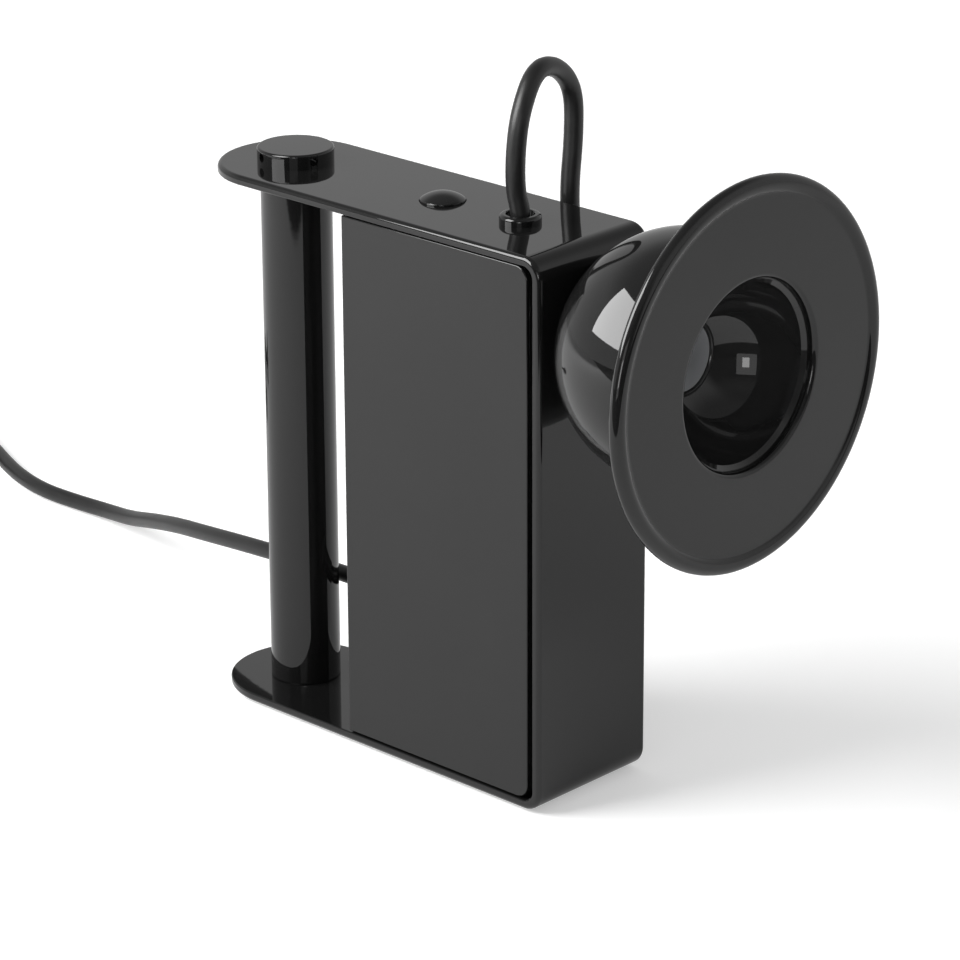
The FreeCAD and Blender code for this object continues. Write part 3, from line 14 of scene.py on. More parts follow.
import bmesh
import bpy
from mathutils import Euler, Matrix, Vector

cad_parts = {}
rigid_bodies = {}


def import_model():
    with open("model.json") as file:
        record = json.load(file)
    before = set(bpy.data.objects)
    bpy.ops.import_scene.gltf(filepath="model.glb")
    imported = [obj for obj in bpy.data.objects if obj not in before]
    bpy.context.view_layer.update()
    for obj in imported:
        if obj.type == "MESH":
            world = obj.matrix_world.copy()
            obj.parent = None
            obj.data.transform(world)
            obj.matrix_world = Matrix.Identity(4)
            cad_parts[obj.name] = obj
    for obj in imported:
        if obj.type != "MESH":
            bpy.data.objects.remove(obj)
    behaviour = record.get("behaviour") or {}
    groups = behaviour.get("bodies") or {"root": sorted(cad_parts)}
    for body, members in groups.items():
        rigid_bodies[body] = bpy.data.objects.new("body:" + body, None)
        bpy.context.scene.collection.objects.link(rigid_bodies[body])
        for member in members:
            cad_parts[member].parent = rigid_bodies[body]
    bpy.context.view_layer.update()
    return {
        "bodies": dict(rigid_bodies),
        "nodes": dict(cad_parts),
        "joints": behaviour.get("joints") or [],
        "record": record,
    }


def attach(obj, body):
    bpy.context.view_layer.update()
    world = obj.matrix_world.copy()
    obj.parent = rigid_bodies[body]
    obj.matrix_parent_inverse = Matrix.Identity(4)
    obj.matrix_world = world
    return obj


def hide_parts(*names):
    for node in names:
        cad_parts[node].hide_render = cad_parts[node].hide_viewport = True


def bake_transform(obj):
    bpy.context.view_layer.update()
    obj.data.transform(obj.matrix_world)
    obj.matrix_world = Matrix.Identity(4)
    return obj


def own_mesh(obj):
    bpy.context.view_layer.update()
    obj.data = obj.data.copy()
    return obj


LOG = logging.getLogger("lamp")
MM = 0.001
CLOSE = 0.01

Point = tuple[float, float, float]
Pair = tuple[float, float]
Profile = Sequence[Pair]
Socket = bpy.types.NodeSocket

BALL: Point = (131.3, 0.0, 178.5)
TOP = 211.0
POST_X = -60.0
BUTTON_X = 15.3
BUSH_X = 53.3


class Body(str, Enum):
    """The rigid bodies that pieces ride on."""

    BASE = "lamp_base"
    BUTTON = "button"
    SEAT = "seat_ring"
    HEAD = "head"


class Axis(Enum):
    """The two axes that turned pieces are spun about."""

    X = (1.0, 0.0, 0.0)
    Z = (0.0, 0.0, 1.0)


class Grain(Enum):
    """How a bare metal surface is worked."""

    PLATED = "plated"
    TURNED = "turned"
    ROLLED = "rolled"


# ------------------------------------------------------------------ small helpers
def at(x: float, y: float, z: float) -> Vector:
    """Turns a point in millimetres into one in metres."""
    return Vector((x, y, z)) * MM


def arc(centre: Pair, radius: float, first: float, last: float, count: int) -> list[Pair]:
    """Points on a circle of a profile.

    Args:
        centre: Centre as (along, radius).
        radius: Radius of the circle.
        first: Angle of the first point, in degrees from the along direction.
        last: Angle of the last point.
        count: How many points.

    Returns:
        The points, first and last included.
    """
    angles = [math.radians(first + (last - first) * k / (count - 1)) for k in range(count)]
    return [(centre[0] + radius * math.cos(a), centre[1] + radius * math.sin(a)) for a in angles]


def deselect() -> None:
    """Leaves nothing selected, so that an operator acts on the next piece alone."""
    for obj in bpy.context.selected_objects:
        obj.select_set(False)


def alone(obj: bpy.types.Object) -> None:
    """Selects one object alone and makes it the active one."""
    deselect()
    obj.select_set(True)
    bpy.context.view_layer.objects.active = obj


@contextmanager
def editing(obj: bpy.types.Object) -> Iterator[bpy.types.Object]:
    """Opens an object in edit mode and closes it again.

    Args:
        obj: The mesh object.

    Yields:
        The same object.
    """
    alone(obj)
    bpy.ops.object.mode_set(mode="EDIT")
    bpy.ops.mesh.select_mode(type="VERT")
    yield obj
    bpy.ops.object.mode_set(mode="OBJECT")


# ------------------------------------------------------------------ modelling
class Blank:
    """A piece while it is being modelled."""

    def __init__(self, name: str) -> None:
        """Takes the primitive that was just added.

        Args:
            name: Name of the piece.
        """
        self.obj: bpy.types.Object = bpy.context.object
        self.obj.name = name
        self.obj.data.name = name
        bpy.ops.object.transform_apply(location=True, rotation=True, scale=True)

    @classmethod
    def cube(cls, name: str, low: Point, high: Point) -> "Blank":
        """Starts from a box between two corners."""
        deselect()
        middle = [(a + b) / 2 * MM for a, b in zip(low, high)]
        bpy.ops.mesh.primitive_cube_add(size=1.0, location=middle)
        bpy.context.object.scale = [(b - a) * MM for a, b in zip(low, high)]
        return cls(name)

    @classmethod
    def bar(cls, name: str, radius: float, low: Point, length: float, direction: Vector, sides: int = 48) -> "Blank":
        """Starts from a round bar that runs from a point along a direction."""
        deselect()
        middle = at(*low) + direction.normalized() * length * MM / 2
        turn = Vector((0, 0, 1)).rotation_difference(direction).to_euler()
        bpy.ops.mesh.primitive_cylinder_add(
            vertices=sides, radius=radius * MM, depth=length * MM, location=middle, rotation=turn
        )
        return cls(name)

    @classmethod
    def vertex(cls, name: str, place: Vector) -> "Blank":
        """Starts from a single vertex."""
        deselect()
        bpy.ops.mesh.primitive_plane_add(size=MM)
        blank = cls(name)
        with editing(blank.obj):
            bpy.ops.mesh.select_all(action="SELECT")
            bpy.ops.mesh.merge(type="CENTER")
            bpy.ops.transform.translate(value=place)
        return blank

    @classmethod
    def turned(cls, name: str, profile: Profile, centre: Vector, axis: Axis, steps: int = 128) -> "Blank":
        """Draws a profile point by point and spins it about an axis.

        Args:
            name: Name of the piece.
            profile: Points as (along the axis, radius).
            centre: A point on the axis, in metres, that the profile is measured from.
            axis: The axis.
            steps: Steps round the full turn.

        Returns:
            The piece, closed and with its faces outwards.
        """
        along = Vector(axis.value)
        outward = Vector((0, 0, 1)) if axis is Axis.X else Vector((1, 0, 0))
        places = [centre + (along * a + outward * r) * MM for a, r in profile]
        blank = cls.vertex(name, places[0])
        with editing(blank.obj):
            for before, after in zip(places, places[1:]):
                bpy.ops.mesh.extrude_vertices_move(TRANSFORM_OT_translate={"value": after - before})
            bpy.ops.mesh.select_all(action="SELECT")
            bpy.ops.mesh.spin(steps=steps, angle=2 * math.pi, center=centre, axis=along)
        blank.close()
        return blank

    def close(self) -> "Blank":
        """Merges doubled vertices and turns the faces outwards."""
        with editing(self.obj):
            bpy.ops.mesh.select_all(action="SELECT")
            bpy.ops.mesh.remove_doubles(threshold=1e-6)
            bpy.ops.mesh.normals_make_consistent(inside=False)
        return self

    def pick(self, test: Callable[[Vector], bool]) -> None:
        """Selects, in edit mode, the vertices that pass a test on their place in millimetres.

        Args:
            test: Says whether a vertex belongs.
        """
        bpy.ops.mesh.select_mode(type="VERT")
        bpy.ops.mesh.select_all(action="DESELECT")
        mesh = bmesh.from_edit_mesh(self.obj.data)
        for vertex in mesh.verts:
            if test(vertex.co / MM):
                vertex.select_set(True)
        mesh.select_flush(True)
        bmesh.update_edit_mesh(self.obj.data)

    def round_edges(self, test: Callable[[bmesh.types.BMEdge], bool], radius: float, segments: int) -> None:
        """Rounds, in edit mode, the edges that pass a test.

        Args:
            test: Says whether an edge belongs.
            radius: Radius of the rounding.
            segments: How many steps it has.
        """
        bpy.ops.mesh.select_mode(type="EDGE")
        bpy.ops.mesh.select_all(action="DESELECT")
        mesh = bmesh.from_edit_mesh(self.obj.data)
        for edge in mesh.edges:
            edge.select_set(test(edge))
        bmesh.update_edit_mesh(self.obj.data)
        bpy.ops.mesh.bevel(offset=radius * MM, segments=segments, profile=0.5, affect="EDGES")

    def modify(self, kind: str, **settings: object) -> "Blank":
        """Adds one modifier with its settings and applies it."""
        alone(self.obj)
        modifier = self.obj.modifiers.new(kind.title(), kind)
        for key, value in settings.items():
            setattr(modifier, key, value)
        bpy.ops.object.modifier_apply(modifier=modifier.name)
        return self

    def drill(self, *tools: "Blank") -> "Blank":
        """Cuts other pieces out of this one and throws them away."""
        for tool in tools:
            self.modify("BOOLEAN", operation="DIFFERENCE", solver="EXACT", object=tool.obj)
            tool.discard()
        return self

    def discard(self) -> None:
        """Removes the piece and its mesh."""
        mesh = self.obj.data
        bpy.data.objects.remove(self.obj)
        bpy.data.meshes.remove(mesh)

    def ease(self, width: float, segments: int = 3, angle: float = 35.0) -> "Blank":
        """Rounds every edge sharper than an angle."""
        return self.modify(
            "BEVEL",
            width=width * MM,
            segments=segments,
            limit_method="ANGLE",
            angle_limit=math.radians(angle),
            use_clamp_overlap=True,
            miter_outer="MITER_ARC",
        )

    def smooth(self, angle: float = 35.0) -> "Blank":
        """Smooths the shading up to an angle and lets the large faces lead it."""
        alone(self.obj)
        bpy.ops.object.shade_smooth_by_angle(angle=math.radians(angle))
        return self.modify("WEIGHTED_NORMAL", keep_sharp=True, weight=60)

    def done(self, body: Body, slot: str, material: bpy.types.Material, *nodes: str) -> bpy.types.Object:
        """Dresses the finished piece and ties it to its body.

        Args:
            body: The body it rides on.
            slot: The record's material slot; not used.
            material: Its finish.
            nodes: The nodes it stands for.

        Returns:
            The object.
        """
        dress(self.obj, material)
        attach(self.obj, body.value)
        if nodes:
            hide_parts(*nodes)
        LOG.info("%s: %d faces on %s", self.obj.name, len(self.obj.data.polygons), body.value)
        return self.obj


def dress(obj: bpy.types.Object, material: bpy.types.Material) -> None:
    """Gives an object one finish."""
    if not obj.data.materials:
        obj.data.materials.append(material)
    for index in range(len(obj.material_slots)):
        obj.material_slots[index].material = material


# ------------------------------------------------------------------ finishes
class Nodes:
    """Builds one material's node tree."""

    def __init__(self, name: str) -> None:
        """Starts a material with a Principled shader.

        Args:
            name: Name of the material.
        """
        self.material = bpy.data.materials.new(name)
        self.material.use_nodes = True
        self.tree = self.material.node_tree
        self.shader = self.tree.nodes["Principled BSDF"]
        self.place = self.tree.nodes.new("ShaderNodeTexCoord").outputs["Object"]

    def add(self, kind: str, **inputs: object) -> bpy.types.Node:
        """Adds a node and sets or links its inputs by name, with _ for a space."""
        node = self.tree.nodes.new("ShaderNode" + kind)
        for key, value in inputs.items():
            socket = node.inputs[key.replace("_", " ")]
            if isinstance(value, Socket):
                self.tree.links.new(value, socket)
            else:
                socket.default_value = value
        return node

    def stretched(self, scale: Point) -> Socket:
        """Object coordinates scaled unevenly, for grain that runs one way."""
        return self.add("Mapping", Vector=self.place, Scale=scale).outputs["Vector"]

    def noise(self, scale: float, detail: float = 3.0, vector: Socket | None = None) -> Socket:
        """A noise value over the surface."""
        node = self.add("TexNoise", Vector=vector or self.place, Scale=scale, Detail=detail)
        return node.outputs["Fac"]

    def spread(self, value: Socket, low: float, high: float) -> Socket:
        """Maps a 0 to 1 value to a range."""
        node = self.add("MapRange", Value=value, To_Min=low, To_Max=high)
        return node.outputs["Result"]

    def tint(self, value: Socket, low: Point, high: Point, first: float = 0.3, last: float = 0.7) -> Socket:
        """A colour between two, by a value."""
        ramp = self.add("ValToRGB", Fac=value)
        ramp.color_ramp.elements[0].position = first
        ramp.color_ramp.elements[0].color = (*low, 1.0)
        ramp.color_ramp.elements[1].position = last
        ramp.color_ramp.elements[1].color = (*high, 1.0)
        return ramp.outputs["Color"]

    def product(self, first: Socket, second: Socket | float) -> Socket:
        """Two values multiplied."""
        node = self.add("Math", Value=first)
        node.operation = "MULTIPLY"
        if isinstance(second, Socket):
            self.tree.links.new(second, node.inputs[1])
        else:
            node.inputs[1].default_value = second
        return node.outputs[0]

    def share_of(self, centre: Point, reach: float) -> Socket:
        """Distance from a point, 0 at the point and 1 at a reach; both in millimetres."""
        offset = self.add("VectorMath", Vector=self.place)
        offset.operation = "SUBTRACT"
        offset.inputs[1].default_value = [c * MM for c in centre]
        length = self.add("VectorMath")
        length.operation = "LENGTH"
        self.tree.links.new(offset.outputs["Vector"], length.inputs[0])
        return self.add("MapRange", Value=length.outputs["Value"], From_Max=reach * MM).outputs["Result"]

    def bump(self, height: Socket, strength: float, distance: float) -> Socket:
        """A bump normal; the distance is in metres."""
        return self.add("Bump", Height=height, Strength=strength, Distance=distance).outputs["Normal"]

    def link(self, socket: str, value: Socket) -> None:
        """Feeds one input of the shader."""
        self.tree.links.new(value, self.shader.inputs[socket])

    def set(self, **values: object) -> None:
        """Sets constants on the shader's own sockets, with _ for a space."""
        for key, value in values.items():
            self.shader.inputs[key.replace("_", " ")].default_value = value


@dataclass(frozen=True)
class Lacquer:
    """Glossy sprayed lacquer: deep black, with faint orange peel and polishing haze."""

    name: str
    shade: float = 0.006
    roughness: float = 0.03
    haze: float = 0.025
    peel: float = 0.01

    def make(self) -> bpy.types.Material:
        """Builds the material."""
        n = Nodes(self.name)
        cloud = n.noise(28.0, 4.0)
        n.link("Base Color", n.tint(cloud, (self.shade,) * 3, (self.shade * 1.25,) * 3))
        hairline = n.noise(900.0, 2.0, n.stretched((1.0, 1.0, 0.05)))
        n.link("Roughness", n.spread(n.product(cloud, hairline), self.roughness, self.roughness + self.haze))
        n.link("Normal", n.bump(n.noise(420.0, 1.0), self.peel, 0.0004))
        n.set(IOR=1.5)
        return n.material


@dataclass(frozen=True)
class Sheath:
    """Extruded cable sheath: satin black with fine drawing lines."""

    name: str
    shade: float = 0.012
    roughness: float = 0.38

    def make(self) -> bpy.types.Material:
        """Builds the material."""
        n = Nodes(self.name)
        cloud = n.noise(120.0, 5.0)
        n.link("Base Color", n.tint(cloud, (self.shade * 0.8,) * 3, (self.shade * 1.3,) * 3))
        n.link("Roughness", n.spread(cloud, self.roughness - 0.06, self.roughness + 0.08))
        n.link("Normal", n.bump(n.noise(1400.0, 4.0), 0.12, 0.0002))
        n.set(IOR=1.5, Specular_IOR_Level=0.45)
        return n.material


@dataclass(frozen=True)
class Moulding:
    """Moulded plastic with a spark-eroded grain."""

    name: str
    colour: Point
    roughness: float = 0.45
    grain: float = 0.15
    scale: float = 2200.0

    def make(self) -> bpy.types.Material:
        """Builds the material."""
        n = Nodes(self.name)
        cloud = n.noise(60.0, 4.0)
        darker = tuple(c * 0.88 for c in self.colour)
        n.link("Base Color", n.tint(cloud, darker, self.colour))
        pits = n.add("TexVoronoi", Vector=n.place, Scale=self.scale).outputs["Distance"]
        n.link("Roughness", n.spread(cloud, self.roughness - 0.05, self.roughness + 0.07))
        n.link("Normal", n.bump(pits, self.grain, 0.0002))
        n.set(IOR=1.46)
        return n.material


@dataclass(frozen=True)
class BareMetal:
    """Bare or plated metal, with grain that follows how it was worked."""

    name: str
    colour: Point
    roughness: float
    grain: Grain

    def make(self) -> bpy.types.Material:
        """Builds the material."""
        n = Nodes(self.name)
        stretch = {Grain.PLATED: (1.0, 1.0, 1.0), Grain.TURNED: (0.04, 1.0, 1.0), Grain.ROLLED: (1.0, 0.04, 0.04)}
        lines = n.noise(1600.0, 3.0, n.stretched(stretch[self.grain]))
        cloud = n.noise(45.0, 4.0)
        n.link("Base Color", n.tint(cloud, tuple(c * 0.85 for c in self.colour), self.colour))
        n.link("Roughness", n.spread(lines, self.roughness - 0.06, self.roughness + 0.12))
        n.link("Normal", n.bump(lines, 0.08, 0.0001))
        n.set(Metallic=1.0)
        return n.material


@dataclass(frozen=True)
class PadRubber:
    """Matt foot rubber with a fine cross-hatched tread."""

    name: str

    def make(self) -> bpy.types.Material:
        """Builds the material."""
        n = Nodes(self.name)
        wave = n.add("TexWave", Vector=n.place, Scale=260.0, Distortion=0.4)
        wave.bands_direction = "DIAGONAL"
        n.link("Base Color", n.tint(n.noise(90.0, 5.0), (0.018,) * 3, (0.034,) * 3))
        n.link("Normal", n.bump(wave.outputs["Fac"], 0.3, 0.0004))
        n.set(Roughness=0.78, IOR=1.45)
        return n.material


@dataclass(frozen=True)
class FrostedLens:
    """Frosted lens: grey and satin, with a fine pebble, and paler towards its rim: a painted rim highlight."""

    name: str
    centre: Point
    radius: float

    def make(self) -> bpy.types.Material:
        """Builds the material."""
        n = Nodes(self.name)
        # Painted highlight: the colour grows paler towards the lens's rim.
        share = n.share_of(self.centre, self.radius)
        n.link("Base Color", n.tint(share, (0.15, 0.154, 0.16), (0.24, 0.246, 0.255), 0.25, 1.0))
        n.link("Normal", n.bump(n.noise(1500.0, 2.0), 0.1, 0.0003))
        n.set(Roughness=0.3, IOR=1.5, Coat_Weight=0.5, Coat_Roughness=0.12)
        return n.material


@dataclass(frozen=True)
class CircuitBoard:
    """White solder mask with the yellow emitter patch in its middle."""

    name: str
    centre: Point
    patch: float

    def make(self) -> bpy.types.Material:
        """Builds the material."""
        n = Nodes(self.name)
        share = n.share_of(self.centre, 2 * self.patch)
        n.link("Base Color", n.tint(share, (0.85, 0.62, 0.08), (0.86, 0.86, 0.84), 0.49, 0.52))
        n.link("Roughness", n.spread(n.noise(300.0), 0.3, 0.45))
        return n.material


@dataclass
class Palette:
    """Every finish of the lamp, by the record's slot."""

    finishes: dict[str, bpy.types.Material] = field(default_factory=dict)

    def mix(self) -> "Palette":
        """Makes the materials."""
        black = (0.022, 0.022, 0.023)
        recipes: dict[str, object] = {
            "black_lacquer": Lacquer("frame black lacquer"),
            "head_lacquer": Lacquer("head black lacquer", shade=0.007, roughness=0.025),
            # Painted light: the bowl's black is lighter than the frame's, standing in for light that its inside does
            # not get.
            "bowl_black": Lacquer("bowl polished black painted lighter", shade=0.014, roughness=0.02, peel=0.004),
            "button_black": Lacquer("button gloss black", shade=0.008, roughness=0.05),
            "foot_rubber": PadRubber("foot rubber"),
            "bright_steel": BareMetal("zinc-plated steel", (0.62, 0.62, 0.63), 0.3, Grain.PLATED),
            "magnet_nickel": BareMetal("magnet nickel", (0.72, 0.71, 0.68), 0.16, Grain.PLATED),
            "glide_polymer": Moulding("glide ring polymer", (0.02, 0.02, 0.021), 0.35, 0.05),
            "switch_black": Moulding("switch housing", (0.035, 0.035, 0.037)),
            "brass": BareMetal("bare brass", (0.75, 0.55, 0.24), 0.28, Grain.TURNED),
            "spring_steel": BareMetal("spring wire", (0.42, 0.42, 0.43), 0.32, Grain.PLATED),
            "driver_white": Moulding("driver case", (0.78, 0.78, 0.76), 0.5, 0.1),
            "tray_aluminium": BareMetal("rolled aluminium", (0.76, 0.76, 0.77), 0.34, Grain.ROLLED),
            "terminal_cream": Moulding("terminal block", (0.74, 0.7, 0.58), 0.42, 0.06),
            "cable_black": Sheath("cable sheath"),
            "wire_grey": Sheath("wire insulation", shade=0.3, roughness=0.38),
            "gland_black": Moulding("strain relief", black, 0.4, 0.08),
            "plug_black": Moulding("plug", black, 0.42, 0.16),
            "pin_nickel": BareMetal("pin nickel", (0.74, 0.72, 0.68), 0.2, Grain.PLATED),
            "tie_black": Moulding("coil tie", (0.03, 0.03, 0.03), 0.55, 0.2, 900.0),
            "barrel_black": BareMetal("anodised barrel", (0.045, 0.045, 0.047), 0.22, Grain.TURNED),
            "board_white": CircuitBoard("light source board", (121.7, 0.0, 178.5), 4.0),
            "lens_frosted": FrostedLens("frosted lens", (131.1, 0.0, 178.5), 12.2),
            "bezel_black": Lacquer("lens ring", shade=0.02, roughness=0.1, peel=0.004),
        }
        self.finishes = {slot: recipe.make() for slot, recipe in recipes.items()}
        return self

    def __getitem__(self, slot: str) -> bpy.types.Material:
        """The finish of a slot."""
        return self.finishes[slot]

    def dress_nodes(self, frame: dict) -> None:
        """Gives every node that stays its finish.
        """
        for entry in frame["record"]["subparts"]:
            obj = bpy.data.objects.get(entry["node"])
            if obj is not None and obj.type == "MESH":
                dress(obj, self[entry["material_slot"]])


# ------------------------------------------------------------------ cords
@dataclass
class Cord:
    """One free cord that follows its route's points as a smooth curve."""

    name: str
    points: Sequence[Point]
    diameter: float
    material: bpy.types.Material
    resolution: int = 10

    def curve(self, bevel: bool = True) -> bpy.types.Object:
        """Makes the NURBS curve.

        Args:
            bevel: Whether it has the cord's thickness.

        Returns:
            The curve object.
        """
        data = bpy.data.curves.new(self.name, "CURVE")
        data.dimensions = "3D"
        data.resolution_u = self.resolution
        if bevel:
            data.bevel_depth = self.diameter / 2 * MM
            data.bevel_resolution = 6
            data.use_fill_caps = True
        spline = data.splines.new("NURBS")
        spline.points.add(len(self.points) - 1)
        for point, place in zip(spline.points, self.points):
            point.co = (*at(*place), 1.0)
        spline.order_u = 3
        spline.use_endpoint_u = True
        obj = bpy.data.objects.new(self.name, data)
        bpy.context.scene.collection.objects.link(obj)
        data.materials.append(self.material)
        return obj

    def line(self) -> list[Vector]:
        """Points along the curve, read from the curve itself."""
        thin = self.curve(bevel=False)
        bpy.context.view_layer.update()
        mesh = bpy.data.meshes.new_from_object(thin.evaluated_get(bpy.context.evaluated_depsgraph_get()))
        places = [v.co.copy() for v in mesh.vertices]
        data = thin.data
        bpy.data.objects.remove(thin)
        bpy.data.curves.remove(data)
        bpy.data.meshes.remove(mesh)
        return places


def between(table: Profile, place: float) -> float:
    """Reads a value from a table of (place, value) rows, with straight lines between them."""
    for (a, low), (b, high) in zip(table, table[1:]):
        if place <= b:
            return low + (high - low) * max(0.0, place - a) / (b - a)
    return table[-1][1]


def run_length(places: Sequence[Vector]) -> float:
    """Length of a line of points, in metres."""
    return sum((b - a).length for a, b in zip(places, places[1:]))


@dataclass
class MainsCord:
    """The mains cord: out of the box, across the table, round the coil five and a third times, and to the plug."""

    palette: Palette
    diameter: float = 6.5
    start: Point = (-36.1, 18.5, 41.0)
    route: Sequence[Point] = (
        (-60.0, 18.5, 41.0),
        (-89.0, 19.4, 38.9),
        (-118.0, 22.0, 36.0),
        (-144.0, 27.5, 31.4),
        (-170.0, 36.0, 25.5),
        (-197.0, 46.5, 17.3),
        (-222.0, 56.5, 8.8),
        (-244.0, 63.0, 4.4),
        (-264.0, 63.2, 3.3),
        (-285.0, 62.6, 3.3),
        (-307.0, 67.5, 3.3),
        (-331.0, 77.5, 3.3),
        (-358.0, 90.0, 3.3),
    )
    tail: Sequence[Point] = ((-434.0, 27.0, 8.4), (-431.5, 9.0, 6.85), (-431.5, -9.0, 6.85))
    coil_centre: Pair = (-400.0, 60.0)
    outer_turn: float = 42.0
    entry_angle: float = 78.0
    leave_angle: float = 198.0
    whole_turns: int = 5
    pitch: float = 6.58
    lift: float = 0.05
    per_turn: int = 16
    # Degrees of winding: a shift inwards; the climb, and how early it ends; a shift outwards, and how early it begins.
    shift_in: float = 44.0
    climb: float = 75.0
    climb_early: float = 65.0
    shift_out: float = 60.0
    shift_out_early: float = 135.0

    def turns(self) -> list[Point]:
        """Control points of the coil: inwards on the table, a climb, and outwards on top.

        Returns:
            The points, from where the cord meets the coil to where it leaves.
        """
        step = 360.0 / self.per_turn
        swell = 1.0 / math.cos(math.radians(step / 2))
        inner, middle = self.outer_turn - 2 * self.pitch, self.outer_turn - self.pitch
        inward = self.entry_angle + 360.0 - self.shift_in
        climbed = self.entry_angle + 3 * 360.0 - self.climb_early
        outward = climbed + 360.0 - self.shift_out_early
        radii = (
            (inward, self.outer_turn),
            (inward + self.shift_in, middle),
            (inward + 360.0, middle),
            (inward + 360.0 + self.shift_in, inner),
            (outward, inner),
            (outward + self.shift_out, middle),
            (outward + 360.0, middle),
            (outward + 360.0 + self.shift_out, self.outer_turn),
        )
        heights = ((climbed - self.climb, 0.0), (climbed, 1.0))
        last = self.leave_angle + self.whole_turns * 360.0
        count = round((last - self.entry_angle) / step)
        places = []
        for k in range(count + 1):
            angle = self.entry_angle + (last - self.entry_angle) * k / count
            radius = between(radii, angle) * swell
            height = self.diameter / 2 + self.lift + between(heights, angle) * (self.diameter - self.lift)
            turn = math.radians(angle)
            x, y = self.coil_centre
            places.append((x + radius * math.cos(turn), y + radius * math.sin(turn), height))
        return places

    def build(self) -> bpy.types.Object:
        points = [self.start, *self.route, *self.turns(), *self.tail]
        cord = Cord("mains_cord_line", points, self.diameter, self.palette["cable_black"])
        length = run_length(cord.line())
        obj = cord.curve()
        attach(obj, Body.BASE.value)
        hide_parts("mains_cord", "mains_coil", "mains_tail")
        LOG.info("mains cord: %.3f m", length)
        return obj


@dataclass
class HeadLead:
    """The stiff lead that loops from the bush on the top plate into the back of the head."""

    palette: Palette
    diameter: float = 7.1
    start: Point = (BUSH_X, 0.0, 212.7)
    route: Sequence[Point] = (
        (BUSH_X, 0.0, 215.2),
        (52.0, -1.2, 223.0),
        (53.6, -2.8, 237.5),
        (54.2, -0.9, 251.7),
        (51.5, 9.6, 264.5),
        (47.7, 24.7, 262.3),
        (45.6, 36.4, 251.2),
        (45.9, 36.3, 233.0),
        (45.4, 34.4, 214.0),
        (44.5, 36.7, 195.5),
        (55.0, 49.0, 181.5),
        (66.5, 58.5, 176.0),
        (83.0, 62.0, 177.0),
    )
    ball: Point = BALL
    gland_angle: float = 120.0
    gland_tip: float = 55.1
    gland_straight: float = 11.0
    inside: float = 43.65
    split_z: float = 214.0

    def points(self) -> list[Point]:
        """The whole route, into the head's gland."""
        turn = math.radians(self.gland_angle)

        x, y, z = self.ball
        ends = (self.gland_tip + self.gland_straight, self.inside)
        in_gland = [(x + out * math.cos(turn), y + out * math.sin(turn), z) for out in ends]
        return [self.start, *self.route, *in_gland]

    def build(self) -> list[bpy.types.Object]:
        """Makes the lead in two lengths.

        Returns:
            The two pieces.
        """
        cord = Cord("head_lead_upper", self.points(), self.diameter, self.palette["cable_black"], resolution=14)
        line = cord.line()
        falling = [k for k, p in enumerate(line) if p.y > 0.03 and p.z < self.split_z * MM]
        cut = falling[0]
        tube = cord.curve()
        alone(tube)
        bpy.ops.object.convert(target="MESH")
        upper = Blank("head_lead_upper")

        def beyond(place: Vector) -> bool:
            """Whether a place is nearer to the falling part of the line."""
            nearest = min(range(len(line)), key=lambda k: (line[k] / MM - place).length_squared)
            return nearest >= cut

        with editing(upper.obj):
            upper.pick(beyond)
            bpy.ops.mesh.separate(type="SELECTED")
        lower = next(o for o in bpy.context.selected_objects if o is not upper.obj)
        lower.name = lower.data.name = "head_lead_lower"
        pieces = []
        spans = (
            (upper.obj, Body.BASE, Body.SEAT, line[: cut + 1], line[2], line[cut - 4]),
            (lower, Body.SEAT, Body.HEAD, line[cut:], line[cut + 4], line[-6]),
        )
        for obj, first, last, path, start, end in spans:
            alone(obj)
            with editing(obj):
                bpy.ops.mesh.select_all(action="SELECT")
                bpy.ops.mesh.fill_holes(sides=0)
                bpy.ops.mesh.normals_make_consistent(inside=False)
            bpy.ops.object.shade_smooth_by_angle(angle=math.radians(50))
            dress(obj, self.palette["cable_black"])
            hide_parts("head_lead")
            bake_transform(obj)
            pieces.append(obj)
        LOG.info("head lead: %.3f m", run_length(line))
        return pieces


